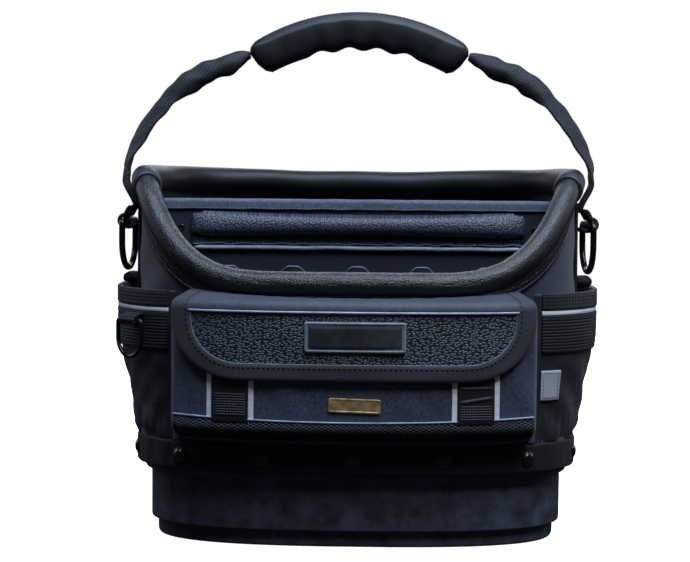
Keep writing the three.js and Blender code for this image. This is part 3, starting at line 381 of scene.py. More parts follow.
def stitches(name, paths, pitch, length, radius, look, slot):
    """Rows of thread along paths of points, each thread a short lozenge lying on the cloth."""
    verts, faces, uvs = [], [], []
    rings = ((-1, 0), (-0.7, 0.75), (0, 1), (0.7, 0.75), (1, 0))
    for path in paths:
        path = np.asarray(path, float)
        size = np.concatenate([[0], np.cumsum(np.linalg.norm(np.diff(path, axis=0), axis=1))])
        count = max(1, int(size[-1] / pitch))
        for k in range(count):
            at = (k + 0.5) * size[-1] / count
            ends = [np.array([np.interp(at + side * length / 2, size, path[:, c]) for c in range(3)])
                    for side in (-1, 1)]
            axis = ends[1] - ends[0]
            reach = np.linalg.norm(axis)
            if reach < 0.2 * length:
                continue
            axis = axis / reach
            helper = np.array([0, 0, 1.0]) if abs(axis[2]) < 0.9 else np.array([1.0, 0, 0])
            side = np.cross(axis, helper)
            side /= np.linalg.norm(side)
            up = np.cross(side, axis)
            middle = (ends[0] + ends[1]) / 2
            start = len(verts)
            verts.append(middle - axis * reach / 2)
            for along, wide in rings[1:-1]:
                for s in range(STITCH_SIDES):
                    turn = TURN * s / STITCH_SIDES
                    verts.append(middle + axis * along * reach / 2
                                 + radius * wide * (side * math.cos(turn) + up * math.sin(turn)))
            verts.append(middle + axis * reach / 2)
            last = len(verts) - 1
            for s in range(STITCH_SIDES):
                n = (s + 1) % STITCH_SIDES
                first = start + 1
                faces.append((start, first + n, first + s))
                for r in range(2):
                    a = first + r * STITCH_SIDES
                    b = a + STITCH_SIDES
                    faces.append((a + s, a + n, b + n, b + s))
                faces.append((last, last - STITCH_SIDES + s, last - STITCH_SIDES + n))
    for face in faces:
        uvs += [(0.4 * (q % 5), 0.4 * (q % 3)) for q in range(len(face))]
    return place(make_object(name, np.array(verts), faces, uvs, [look]), slot)


# Materials
def srgb(r, g, b):
    def channel(v):
        v /= 255
        return v / 12.92 if v <= 0.04045 else ((v + 0.055) / 1.055) ** 2.4
    return (channel(r), channel(g), channel(b), 1.0)


class Look:
    """A Principled material whose colour, gloss and relief come from patterns in millimetres."""

    def __init__(self, name, metallic=0.0, specular=0.5, sheen=0.0, coat=0.0):
        self.material = bpy.data.materials.new(name)
        self.material.use_nodes = True
        self.nodes = self.material.node_tree.nodes
        self.links = self.material.node_tree.links
        self.shader = self.nodes["Principled BSDF"]
        self.shader.inputs["Metallic"].default_value = metallic
        self.shader.inputs["Specular IOR Level"].default_value = specular
        self.shader.inputs["Sheen Weight"].default_value = sheen
        self.shader.inputs["Sheen Roughness"].default_value = 0.5
        self.shader.inputs["Coat Weight"].default_value = coat
        self.shader.inputs["Coat Roughness"].default_value = 0.25
        coordinates = self.nodes.new("ShaderNodeTexCoord")
        self.object = self.scale(coordinates.outputs["Object"])
        self.uv = self.scale(coordinates.outputs["UV"])
        split = self.add("SeparateXYZ", {"Vector": self.uv})
        self.u, self.v = split.outputs["X"], split.outputs["Y"]
        self.normal = None

    def add(self, kind, inputs, **settings):
        node = self.nodes.new("ShaderNode" + kind)
        for key, value in settings.items():
            setattr(node, key, value)
        for key, value in inputs.items():
            if isinstance(value, bpy.types.NodeSocket):
                self.links.new(value, node.inputs[key])
            else:
                node.inputs[key].default_value = value
        return node

    def scale(self, vector, factor=1000.0):
        node = self.add("VectorMath", {0: vector, "Scale": factor}, operation="SCALE")
        return node.outputs["Vector"]

    def stretch(self, vector, by, turn=0.0):
        node = self.add("Mapping", {"Vector": vector, "Scale": by, "Rotation": (0, 0, turn)})
        return node.outputs["Vector"]

    def math(self, operation, *values):
        node = self.add("Math", dict(enumerate(values)), operation=operation)
        return node.outputs["Value"]

    def wave(self, value, pitch):
        return self.math("SINE", self.math("MULTIPLY", value, TURN / pitch))

    def weave(self, pitch_u, pitch_v):
        crossing = self.math("MULTIPLY", self.wave(self.u, pitch_u), self.wave(self.v, pitch_v))
        return self.math("MULTIPLY_ADD", crossing, 0.5, 0.5)

    def ribs(self, value, pitch):
        return self.math("ABSOLUTE", self.wave(value, 2 * pitch))

    def diamonds(self, wide, high):
        a = self.math("DIVIDE", self.u, wide)
        b = self.math("DIVIDE", self.v, high)
        up = self.math("ABSOLUTE", self.math("SINE", self.math("MULTIPLY", self.math("ADD", a, b), math.pi)))
        down = self.math("ABSOLUTE", self.math("SINE",
                                               self.math("MULTIPLY", self.math("SUBTRACT", a, b), math.pi)))
        return self.math("SUBTRACT", 1.0, self.math("MULTIPLY", up, down))

    def noise(self, size, detail=2.0, vector=None, roughness=0.5):
        node = self.add("TexNoise", {"Vector": vector or self.object, "Scale": 1.0 / size,
                                     "Detail": detail, "Roughness": roughness})
        return node.outputs["Fac"]

    def pebbles(self, size, vector=None, edge=0.28):
        node = self.add("TexVoronoi", {"Vector": vector or self.object, "Scale": 1.0 / size},
                        feature="DISTANCE_TO_EDGE")
        return self.remap(node.outputs["Distance"], 0.0, edge, 0.0, 1.0, smooth=True)

    def domes(self, size, vector):
        node = self.add("TexVoronoi", {"Vector": vector, "Scale": 1.0 / size, "Randomness": 0.85},
                        voronoi_dimensions="2D")
        return self.remap(node.outputs["Distance"], 0.2, 0.6, 1.0, 0.0, smooth=True)

    def remap(self, value, low, high, to_low, to_high, smooth=False):
        node = self.add("MapRange", {"Value": value, "From Min": low, "From Max": high,
                                     "To Min": to_low, "To Max": to_high},
                        interpolation_type="SMOOTHSTEP" if smooth else "LINEAR")
        return node.outputs["Result"]

    def edges(self, low=0.5, high=0.56):
        pointy = self.nodes.new("ShaderNodeNewGeometry").outputs["Pointiness"]
        return self.remap(pointy, low, high, 0.0, 1.0)

    def blend(self, factor, a, b):
        node = self.add("Mix", {0: factor, 6: a, 7: b}, data_type="RGBA")
        return node.outputs[2]

    def colour(self, value):
        self.links.new(value, self.shader.inputs["Base Color"])

    def roughness(self, value):
        self.links.new(value, self.shader.inputs["Roughness"])

    def relief(self, height, depth, strength=1.0):
        inputs = {"Height": height, "Distance": depth * MM, "Strength": strength}
        if self.normal is not None:
            inputs["Normal"] = self.normal
        self.normal = self.add("Bump", inputs).outputs["Normal"]
        self.links.new(self.normal, self.shader.inputs["Normal"])


def cloth_look(name, dark, light, pitch, depth, gloss=(0.5, 0.68), sheen=0.12, crease=0.5):
    """Plain woven nylon: crossing threads, uneven yarn, soft creases and a little wear."""
    look = Look(name, specular=0.4, sheen=sheen)
    threads = look.weave(pitch, pitch)
    yarn = look.noise(1.5, 3.0, look.stretch(look.uv, (1.0, 0.3, 1.0)))
    grain = look.noise(2.4, 2.0, look.uv)
    patches = look.noise(40.0, 2.0)
    lightness = look.math("MULTIPLY_ADD", yarn, 0.5, look.math("MULTIPLY", threads, 0.4))
    lightness = look.math("MULTIPLY", lightness, look.remap(grain, 0.3, 0.7, 0.55, 1.35))
    factor = look.math("MULTIPLY", lightness, look.remap(patches, 0.3, 0.7, 0.8, 1.15))
    look.colour(look.blend(factor, dark, light))
    look.roughness(look.remap(grain, 0.3, 0.7, *gloss))
    look.relief(look.noise(22.0, 2.0), crease, 0.55)
    look.relief(threads, depth, 0.8)
    look.relief(yarn, depth * 0.8, 0.6)
    return look.material


def leather_look(name, dark, light, size, depth, gloss=(0.28, 0.42), stretch=(1, 1, 1), wrinkle=0.0,
                 specular=0.55):
    """Grained leather: small domes with painted shade in the creases between them, finer grain and long soft
    wrinkles with painted shade in their folds.
    """
    look = Look(name, specular=specular)
    wobble = look.add("TexNoise", {"Vector": look.uv, "Scale": 0.3 / size, "Detail": 1.0})
    bent = look.add("VectorMath", {0: look.uv, 1: look.scale(wobble.outputs["Color"], size * 0.8)},
                    operation="ADD")
    domes = look.domes(size, look.stretch(bent.outputs["Vector"], stretch))
    fine = look.noise(size * 0.3, 2.0)
    patches = look.noise(38.0, 3.0)
    # painted shade: the colour is darker in the creases between the domes and lighter on their tops
    tone = look.math("MULTIPLY", domes, look.remap(patches, 0.3, 0.7, 0.75, 1.15))
    folds = look.noise(3.4, 3.0, look.stretch(look.uv, (0.16, 1.0, 1.0)))
    # painted shade: where wrinkled, the colour darkens in the troughs of the folds
    if wrinkle:
        tone = look.math("MULTIPLY", tone, look.remap(folds, 0.36, 0.56, 0.25, 1.1, smooth=True))
    look.colour(look.blend(tone, dark, light))
    look.roughness(look.math("MULTIPLY_ADD", fine, 0.1, look.remap(domes, 0, 1, gloss[1], gloss[0])))
    look.relief(patches, 0.4, 0.4)
    if wrinkle:
        look.relief(folds, wrinkle, 0.8)
    look.relief(domes, depth, 0.9)
    look.relief(fine, depth * 0.3, 0.5)
    return look.material


def webbing_look(name, dark, light, rib, along="u", depth=0.35, cross=1.1, sheen=0.1):
    """Woven webbing: ribs across its length, crossed by finer threads."""
    look = Look(name, specular=0.4, sheen=sheen)
    length, width = (look.u, look.v) if along == "u" else (look.v, look.u)
    ribs = look.ribs(length, rib)
    threads = look.ribs(width, cross)
    body = look.math("MULTIPLY", ribs, look.math("MULTIPLY_ADD", threads, 0.5, 0.5))
    fuzz = look.noise(0.8, 3.0)
    tone = look.math("MULTIPLY", body, look.remap(fuzz, 0.3, 0.7, 0.7, 1.15))
    look.colour(look.blend(tone, dark, light))
    look.roughness(look.remap(fuzz, 0.3, 0.7, 0.55, 0.75))
    look.relief(ribs, depth, 0.8)
    look.relief(threads, depth * 0.5, 0.6)
    look.relief(fuzz, 0.12, 0.4)
    return look.material


def tape_look(name, colour, bright, rough=(0.3, 0.5), bead=0.5, metallic=0.25):
    """Reflective tape: a fine beaded surface with scuffs."""
    look = Look(name, metallic=metallic, specular=0.6)
    beads = look.pebbles(bead, look.uv, 0.4)
    scuffs = look.noise(6.0, 4.0, look.stretch(look.uv, (0.4, 2.0, 1.0)))
    tone = look.math("MULTIPLY", look.remap(scuffs, 0.3, 0.6, 0.3, 1.0), look.remap(beads, 0, 1, 0.75, 1.0))
    look.colour(look.blend(tone, colour, bright))
    look.roughness(look.remap(scuffs, 0.35, 0.65, rough[1], rough[0]))
    look.relief(beads, 0.06, 0.6)
    look.relief(scuffs, 0.15, 0.5)
    return look.material


def moulded_look(name, dark, light, gloss, speckle=0.9, depth=0.06, wear=0.6, specular=0.4):
    """Moulded plastic or rubber: fine spark-eroded texture, mottling, scuffed edges."""
    look = Look(name, specular=specular)
    fine = look.noise(speckle, 3.0)
    mottle = look.noise(16.0, 5.0, roughness=0.62)
    wide = look.noise(70.0, 2.0)
    tone = look.math("MULTIPLY", look.remap(mottle, 0.35, 0.7, 0.15, 0.9),
                     look.remap(wide, 0.3, 0.7, 0.6, 1.2))
    tone = look.math("MULTIPLY_ADD", look.edges(), wear, tone)
    look.colour(look.blend(tone, dark, light))
    look.roughness(look.math("MULTIPLY_ADD", mottle, 0.18, look.remap(fine, 0.3, 0.7, *gloss)))
    look.relief(mottle, 0.35, 0.3)
    look.relief(fine, depth, 0.6)
    return look.material


def metal_look(name, dark, light, gloss, brush=None, depth=0.05, metallic=1.0, coat=0.0):
    """Metal with fine scratches, or brushed along one direction."""
    look = Look(name, metallic=metallic, specular=0.6, coat=coat)
    field = look.stretch(look.uv if brush else look.object, brush or (1, 1, 1))
    lines = look.noise(0.7, 4.0, field)
    tarnish = look.noise(7.0, 4.0)
    tone = look.math("MULTIPLY_ADD", lines, 0.5, look.remap(tarnish, 0.35, 0.65, 0.0, 0.7))
    look.colour(look.blend(tone, dark, light))
    look.roughness(look.math("MULTIPLY_ADD", lines, 0.15, look.remap(tarnish, 0.3, 0.7, *gloss)))
    look.relief(lines, depth, 0.5)
    return look.material


def knit_look(name, dark, light, wide, high):
    """Open knit: raised diamond strands over dark holes, with painted shade darkening it towards its lower edge.
    """
    look = Look(name, specular=0.2)
    strands = look.diamonds(wide, high)
    lifted = look.remap(strands, 0.45, 0.85, 0.0, 1.0, smooth=True)
    fuzz = look.noise(0.7, 3.0)
    # painted shade: the knit's colour darkens towards its lower edge, where the pocket curves under
    lightness = look.remap(look.v, POCKET_BOTTOM + 6, MESH_TOP - 1, 0.03, 1.0, smooth=True)
    tone = look.math("MULTIPLY", lifted, look.math("MULTIPLY", lightness, look.remap(fuzz, 0.3, 0.7, 0.6, 1.2)))
    look.colour(look.blend(tone, dark, light))
    look.roughness(look.remap(lifted, 0, 1, 0.85, 0.45))
    look.relief(lifted, 0.5, 0.9)
    look.relief(fuzz, 0.1, 0.4)
    return look.material


nylon = cloth_look("nylon", srgb(5, 6, 10), srgb(70, 77, 104), 1.5, 0.14)
# nylon_pocket is a lighter copy of the nylon: painted light for the pocket's lit front
pocket_nylon = cloth_look("nylon_pocket", srgb(7, 8, 13), srgb(86, 95, 126), 1.5, 0.14)
side_nylon = cloth_look("nylon_side", srgb(2, 3, 6), srgb(44, 48, 64), 1.5, 0.14, sheen=0.05)
# nylon_band is a near-black copy of the nylon: painted shade for the base band under the pocket's overhang; the
# ladder webbing uses it too
band_nylon = cloth_look("nylon_band", srgb(1, 1, 2), srgb(12, 13, 18), 1.7, 0.16, gloss=(0.6, 0.8),
                        sheen=0.02)
top_nylon = cloth_look("nylon_top", srgb(22, 26, 33), srgb(72, 80, 97), 1.3, 0.1)
roll_nylon = cloth_look("nylon_roll", srgb(2, 3, 5), srgb(15, 19, 27), 0.9, 0.05, gloss=(0.42, 0.55),
                        sheen=0.02)
collar_nylon = cloth_look("nylon_collar", srgb(4, 8, 12), srgb(36, 50, 64), 1.2, 0.08, gloss=(0.4, 0.55),
                          sheen=0.05)
inside = cloth_look("lining", srgb(5, 8, 14), srgb(32, 44, 68), 1.2, 0.08)
board_cloth = cloth_look("board_cloth", srgb(30, 36, 48), srgb(112, 126, 152), 1.2, 0.08)
leather = leather_look("leather_roll", srgb(3, 4, 7), srgb(26, 31, 43), 1.3, 0.2, gloss=(0.24, 0.36),
                       wrinkle=0.6, specular=0.6)
bolster_leather = leather_look("leather_bolster", srgb(24, 29, 40), srgb(60, 70, 90), 1.7, 0.25,
                               gloss=(0.36, 0.5))
flap_leather = leather_look("leather_flap", srgb(15, 17, 23), srgb(70, 79, 97), 1.9, 0.42, gloss=(0.3, 0.5),
                            stretch=(0.72, 1.15, 1))
binding = webbing_look("binding_tape", srgb(26, 28, 34), srgb(62, 67, 80), 0.9, "u", 0.14, 1.3)
webbing = webbing_look("webbing", srgb(1, 2, 3), srgb(17, 20, 28), 2.4, "v", 0.5, 1.7, sheen=0.02)
rib_webbing = webbing_look("webbing_ribs", srgb(4, 5, 7), srgb(72, 78, 92), 1.9, "u", 0.1, 2.0, sheen=0.02)
strap_webbing = webbing_look("strap_webbing", srgb(3, 4, 7), srgb(34, 39, 52), 1.9, "u", 0.25, 1.6,
                             sheen=0.03)
cuff_webbing = webbing_look("cuff_elastic", srgb(2, 3, 6), srgb(38, 44, 58), 1.6, "u", 0.6, 2.6, sheen=0.03)
reflective = tape_look("reflective_tape", srgb(190, 198, 212), srgb(244, 247, 252), metallic=0.0)
piping_tape = tape_look("reflective_piping", srgb(86, 98, 120), srgb(168, 182, 206), bead=0.4, metallic=0.0)
moulded = moulded_look("moulded_base", srgb(22, 25, 33), srgb(78, 86, 107), (0.46, 0.6))
grip_rubber = moulded_look("moulded_grip", srgb(5, 6, 8), srgb(32, 37, 46), (0.36, 0.5), wear=0.4)
badge_rubber = moulded_look("badge_rubber", srgb(12, 14, 18), srgb(62, 66, 74), (0.4, 0.5), 0.7, 0.04, 0.5)
frame_rubber = moulded_look("badge_frame", srgb(80, 86, 98), srgb(140, 148, 162), (0.4, 0.5), 0.7, 0.04, 0.5)
brass = metal_look("brass", srgb(128, 100, 64), srgb(226, 194, 144), (0.3, 0.44), brush=(0.08, 2.4, 1.0),
                   metallic=0.7)
gloss_metal = metal_look("black_metal", srgb(5, 6, 8), srgb(26, 29, 35), (0.16, 0.26), metallic=0.7, coat=0.5)
rivet_metal = metal_look("rivet_metal", srgb(1, 1, 2), srgb(8, 9, 11), (0.14, 0.24), metallic=0.1, coat=0.4)
knit = knit_look("knit_panel", srgb(0, 0, 1), srgb(84, 90, 106), 4.4, 2.4)
label_cloth = webbing_look("label_weave", srgb(128, 136, 148), srgb(206, 212, 222), 0.8, "v", 0.08, 0.8)
dark_thread = webbing_look("thread_dark", srgb(1, 1, 2), srgb(12, 14, 18), 0.5, "u", 0.05, 0.5)
light_thread = webbing_look("thread_light", srgb(58, 64, 76), srgb(130, 138, 156), 0.5, "u", 0.05, 0.5)


# Base
def rings(step=2.6):
    count = int(round(ROUND / step / 8)) * 8
    return (np.arange(count) - count / 2) * ROUND / count


def level_vessel(name, profile, look):
    """A vessel of level rings from the middle of its underside to the middle of its floor."""
    arcs = rings()
    points = np.stack([wall(arcs, z, out) for out, z in profile], 1)
    n, m, _ = points.shape
    verts = [*points.reshape(-1, 3), (0, 0, profile[0][1]), (0, 0, profile[-1][1])]
    arc_uv = np.append(arcs, arcs[0] + ROUND)
    side = np.concatenate([[0], np.cumsum(np.hypot(*np.diff(np.array(profile).T)))])
    faces, uvs = [], []
    for i in range(n):
        k = (i + 1) % n
        for j in range(m - 1):
            faces.append((i * m + j, k * m + j, k * m + j + 1, i * m + j + 1))
            uvs += [(arc_uv[i], side[j]), (arc_uv[i + 1], side[j]),
                    (arc_uv[i + 1], side[j + 1]), (arc_uv[i], side[j + 1])]
        for j, centre in ((0, n * m), (m - 1, n * m + 1)):
            faces.append((i * m + j, k * m + j, centre))
            uvs += [tuple(verts[q][:2]) for q in faces[-1]]
    return make_object(name, np.array(verts, float), faces, uvs, [look])


base_profile = fillet(
    [(PLINTH_OUT - 30, 0), (PLINTH_OUT - 1, 0), (PLINTH_OUT, 1.6), (PLINTH_OUT + 0.4, 12.2),
     (TUB_OUT - 0.5, 12.9),
     (TUB_OUT - 0.2, 14), (TUB_OUT, LIP_BOTTOM - 0.2), (LIP_OUT - 0.4, LIP_BOTTOM + 0.6),
     (LIP_OUT, LIP_BOTTOM + 1.6),
     (LIP_OUT, LIP_TOP - 0.3), (LIP_OUT - 1.4, LIP_TOP), (-6.4, LIP_TOP), (-6.4, 76), (-8.7, 76),
     (-12.9, LIP_BOTTOM), (-12.9, 15.5), (-18.5, 12), (-20, 4.2), (-45, 4)],
    [0, 2.5, 1.5, 0.5, 1.0, 1.6, 1.2, 0.8, 1.0, 1.2, 0.8, 0.5, 0.8, 0.8, 3, 3, 3, 4, 0], 3)
place(level_vessel("base", [tuple(p) for p in base_profile], moulded), "moulded", "base_floor", "base_tub")

# Wall
def wall_pillow(arc, height):
    return 0.55 * ripple(arc, height, 60, 50, 3)


def body_wall():
    arcs = rings(2.2)
    shares = np.linspace(0, 1, 46)
    rim = rim_height(arcs) - 1.2
    foot = LIP_TOP + GAP
    heights = foot + (rim - foot)[:, None] * shares[None, :]
    a = np.repeat(arcs[:, None], len(shares), 1)
    fade = ease((heights - BAND_TOP - 3) / 12)
    hidden = ease((rim[:, None] - heights) / 22)
    bulge = wall_pillow(a, heights) * fade * hidden
    outer = wall(a, heights, bulge)
    inner = wall(a, heights, -WALL + 0.4 * bulge)
    u = np.concatenate([a, a[:1] + ROUND])
    v = np.concatenate([heights, heights[:1]])
    return shell("body_wall", outer, inner, nylon, wrap_i=True, uv=(u, v), inner_look=inside)


wall_piece = place(body_wall(), "nylon", "wall_panel_front", "wall_panel_back")

band_heights = [LIP_TOP + GAP, LIP_TOP + 0.9, *np.linspace(59, 76, 9), 77.6, 78.6, BAND_TOP]


def band_out(arc, height):
    edge = np.minimum(quarter_rise(height - LIP_TOP, 1.4), quarter_rise(BAND_TOP - height + 0.05, 1.6))
    between = ripple(arc, height, 17, 60, 11) * 0.35
    return 0.45 + (BAND_OUT - 0.55 + between) * edge


place(wall_skin("base_band", rings(2.2), band_heights, band_out, 0.2, band_nylon, wrap_i=True), "nylon",
      "base_band")


def turned_cap(name, centre, normal, profile, look, segments=28):
    """A turned cap standing out along a level normal; the profile is (radius, lift) from rim to middle."""
    centre, normal = np.asarray(centre, float), np.asarray(normal, float)
    side, up = np.array([-normal[1], normal[0], 0.0]), np.array([0, 0, 1.0])
    turns = TURN * np.arange(segments) / segments
    verts, faces, uvs = [], [], []
    for radius, lift in profile:
        verts += list(centre + radius * (side * np.cos(turns)[:, None] + up * np.sin(turns)[:, None])
                      + normal * lift)
    tip = len(verts)
    verts += [centre + normal * profile[-1][1], centre + normal * profile[0][1]]
    last = (len(profile) - 1) * segments
    for s in range(segments):
        n = (s + 1) % segments
        for r in range(len(profile) - 1):
            a, b = r * segments, (r + 1) * segments
            faces.append((a + s, a + n, b + n, b + s))
            uvs += [(radius * math.cos(turns[q]), radius * math.sin(turns[q]))
                    for radius, q in ((profile[r][0], s), (profile[r][0], n), (profile[r + 1][0], n),
                                      (profile[r + 1][0], s))]
        faces += [(last + s, last + n, tip), (n, s, tip + 1)]
        uvs += [(0, 0), (0.3, 0), (0, 0.3)] * 2
    return make_object(name, np.array(verts), faces, uvs, [look])


rivet_profile = [(RIVET_RADIUS - 0.5, 0), (RIVET_RADIUS, 0.35), (RIVET_RADIUS - 0.15, 0.75),
                 (RIVET_RADIUS - 0.7, 1.0),
                 (RIVET_RADIUS - 1.15, 0.95), (RIVET_RADIUS - 1.35, 1.15), (4.0, 1.75), (3.0, 2.2),
                 (1.8, 2.42), (0.7, RIVET_DOME)]
for number in range(RIVET_COUNT):
    spot = wrap(number * ROUND / RIVET_COUNT)
    x, y, nx, ny = (float(v) for v in plan(spot))
    stand = BAND_OUT + GAP - 0.2
    cap = turned_cap(f"rivet_cap_{number + 1:02d}", (x + nx * stand, y + ny * stand, RIVET_HEIGHT),
                     (nx, ny, 0),
                     rivet_profile, rivet_metal)
    place(cap, "black_metal", f"rivet_{number + 1:02d}")


# Rim rolls
def front_drop(arc):
    return 10 + 7 * np.minimum(1, np.abs(arc) / FLAP_SPAN) ** 2


def roll_sections(arcs, radius, drop, inner_drop, crush):
    """Sections of a rolled rim: a tube on the wall's edge and a skirt sewn to each face."""
    middle, face, inside_face = -WALL / 2, GAP + SKIRT, -WALL - GAP - SKIRT
    start = -math.acos((face - middle) / radius)
    turns = np.linspace(start, math.pi - start, 34)
    slope = np.arctan(rim_height(arcs + 0.5) - rim_height(arcs - 0.5))
    from_joint = np.abs(np.abs(wrap(arcs)) - ROLL_JOINT)
    lean = slope * np.minimum(1, from_joint / JOINT_RUN)
    rim = rim_height(arcs)
    rows = []
    for k, arc in enumerate(arcs):
        parts = []
        for turn in turns:
            swell = radius * (1 + crush(arc, turn))
            up = swell * math.sin(turn)
            parts.append((arc - up * math.sin(lean[k]), rim[k] + up * math.cos(lean[k]),
                          middle + swell * math.cos(turn)))
        stretch_down = 1 / math.cos(lean[k])
        foot = -radius * math.sin(-start)
        for share in np.linspace(0.12, 1, 7):
            up = foot + (-inner_drop - foot) * share
            parts.append((arc, rim[k] + up * stretch_down, inside_face + 0.25 * math.sin(3 * share)))
        parts.append((arc, rim[k] - (inner_drop + 0.5) * stretch_down, -WALL - GAP - 0.6))
        parts.append((arc, rim[k] - inner_drop * stretch_down, -WALL - 0.1))
        parts.append((arc, rim[k] - 2 * stretch_down, -WALL + 0.4))
        parts.append((arc, rim[k] - 2 * stretch_down, -0.4))
        low = float(drop(arc))
        parts.append((arc, rim[k] - low * stretch_down, 0.1))
        parts.append((arc, rim[k] - (low + 0.5) * stretch_down, 0.9))
        for share in np.linspace(1, 0.12, 9):
            up = foot + (-low - foot) * share
            fold = 0.32 * float(ripple(arc, up * 9, 70, 26, 21)) * math.sin(math.pi * min(1, share + 0.1))
            parts.append((arc, rim[k] + up * stretch_down, face + fold))
        rows.append(parts)
    rows = np.array(rows)
    return wall(rows[..., 0], rows[..., 1], rows[..., 2])


def front_crush(arc, turn):
    low_side = max(0.0, math.cos(turn)) * max(0.0, 0.35 - math.sin(turn))
    fold = float(ripple(arc, turn * 30, 34, 11, 5)) * 0.035 * low_side
    return fold + 0.008 * float(ripple(arc, turn * 12, 26, 20, 6))


def rear_crush(arc, turn):
    return 0.03 * float(ripple(arc, turn * 12, 70, 40, 8))


front_arcs = spaced(-ROLL_JOINT, ROLL_JOINT, 1.9)
front_roll = sweep("rim_roll_front_leather",
                   roll_sections(front_arcs, FRONT_ROLL, front_drop, INNER_SKIRT, front_crush), leather)
place(front_roll, "leather", "rim_roll_front")
rear_arcs = spaced(ROLL_JOINT + GAP, ROUND - ROLL_JOINT - GAP, 2.6)
rear_roll = sweep("rim_roll_rear_nylon",
                  roll_sections(rear_arcs, REAR_ROLL, lambda arc: REAR_SKIRT, REAR_INNER_SKIRT, rear_crush),
                  roll_nylon)
place(rear_roll, "nylon", "rim_roll_rear_right", "rim_roll_rear_left")


def collar(side):
    """A band of cloth wound round the rim where the leather roll runs into the nylon one."""
    arcs = spaced(ROLL_JOINT - 1.5, ROLL_JOINT + 6, 0.6)
    turns = np.linspace(-math.pi * 0.42, math.pi * 1.42, 40)
    slope = np.arctan(rim_height(arcs + 0.5) - rim_height(arcs - 0.5))
    lean = slope * np.minimum(1, np.abs(arcs - ROLL_JOINT) / JOINT_RUN)
    shape = []
    for lift in (0.0, -1.4):
        edge = np.minimum(quarter_rise(arcs - arcs[0], 1.8), quarter_rise(arcs[-1] - arcs, 6.0))
        radius = REAR_ROLL + 0.1 + 0.8 * edge + lift
        up = radius[:, None] * np.sin(turns)[None, :]
        out = -WALL / 2 + radius[:, None] * np.cos(turns)[None, :]
        arc = arcs[:, None] - up * np.sin(lean)[:, None]
        height = rim_height(arcs)[:, None] + up * np.cos(lean)[:, None]
        shape.append(wall(side * arc, height, out))
    return soften(shell(f"rim_collar_{'left' if side < 0 else 'right'}", shape[0], shape[1], collar_nylon),
                  0.5)


for side in (-1, 1):
    place(collar(side), "nylon")

rim_stitch_paths = []
for side in (-1, 1):
    arcs = np.arange(2 if side > 0 else 0, ROLL_JOINT - 6, 1.5) * side
    drop = front_drop(arcs) - 1.6
    slope = np.arctan(rim_height(arcs + 0.5) - rim_height(arcs - 0.5))
    rim_stitch_paths.append(wall(arcs, rim_height(arcs) - drop / np.cos(slope), GAP + SKIRT + 0.25))
stitches("rim_stitching", rim_stitch_paths, 3.2, 2.5, 0.38, light_thread, "leather")
rear_line = spaced(ROLL_JOINT + 12, ROUND - ROLL_JOINT - 12, 2.0)
stitches("rim_stitching_rear", [wall(rear_line, rim_height(rear_line) - REAR_SKIRT + 2, GAP + SKIRT + 0.2),
                                wall(rear_line, rim_height(rear_line) - REAR_INNER_SKIRT + 2,
                                     -WALL - GAP - SKIRT - 0.3)],
         3.4, 2.6, 0.36, dark_thread, "nylon")


# Divider
def inside_half_width(out, depth):
    arcs = np.linspace(0, HALF, 4000)
    points = wall(arcs, 0, out)
    k = int(np.searchsorted(points[:, 1], depth))
    return float(points[min(k, len(points) - 1), 0])


def divider_board():
    depth = DIVIDER_FRONT + DIVIDER_THICK
    half = [inside_half_width(out, depth) - 0.8 for out in (-18.5, -12.9, -8.8, -6.0)]
    narrow = min(half[1], half[2])
    right = [(half[0], 4.4), (half[0], 15.8), (narrow, 19), (narrow, 76.4), (half[3], 76.6),
             (half[3], DIVIDER_SIDE_TOP), (half[3] - 7, DIVIDER_TOP)]
    outline = fillet(right + [(-x, z) for x, z in reversed(right)],
                     [1, 2, 2, 1, 1, 3, 3, 3, 3, 1, 1, 2, 2, 1], 5, True)
    outline = resample(np.vstack([outline, outline[:1]]), 4.0)[:-1]
    centre = np.array([0, 130.0])
    sections = []
    for depth_share, inset in ((0, 2.4), (0.1, 0.9), (0.25, 0.2), (0.5, 0), (0.75, 0.2), (0.9, 0.9),
                               (1, 2.4)):
        away = outline - centre
        scale = 1 - inset / np.linalg.norm(away, axis=1)
        flat = centre + away * scale[:, None]
        y = DIVIDER_FRONT + 0.1 + (DIVIDER_THICK - 0.2) * depth_share
        sections.append(np.column_stack([flat[:, 0], np.full(len(flat), y), flat[:, 1]]))
    obj = sweep("divider", np.array(sections), board_cloth)
    obj.data.materials.append(inside)
    front_uv(obj, 1.0)
    # painted shade: the board's faces below the bolster's top take the darker lining, and the lighter board
    # cloth is kept for its upper edge
    for polygon in obj.data.polygons:
        polygon.material_index = int(polygon.center.z < (BOLSTER_TOP - 0.5) * MM)
    return soften(obj, 0.6)


place(divider_board(), "lining", "divider_board")


def board_binding():
    """Cloth folded over the divider's upper edge."""
    half = inside_half_width(-WALL, DIVIDER_FRONT + DIVIDER_THICK) - 9.5
    xs = edge_run(-half, half, 3.0, 1.5)
    front, rear, top = DIVIDER_FRONT - 0.1, DIVIDER_FRONT + DIVIDER_THICK + 0.1, DIVIDER_TOP
    line = fillet([(front, BOLSTER_TOP - 0.6), (front, top + 0.1), (rear, top + 0.1), (rear, top - 8)], 2.6,
                  5)
    line = resample(line, 0.9)
    tangent = np.gradient(line, axis=0)
    tangent /= np.linalg.norm(tangent, axis=1)[:, None]
    normal = np.column_stack([-tangent[:, 1], tangent[:, 0]])
    shape = []
    for lift in (0.55, -0.1):
        wave = lift + 0.1 * ripple(xs, 0, 40, 10, 37)[:, None] * (lift > 0)
        y = line[None, :, 0] + normal[None, :, 0] * wave
        z = line[None, :, 1] + normal[None, :, 1] * wave
        shape.append(np.stack([np.repeat(xs[:, None], len(line), 1), y, z], -1))
    return shell("board_binding", shape[0], shape[1], board_cloth)


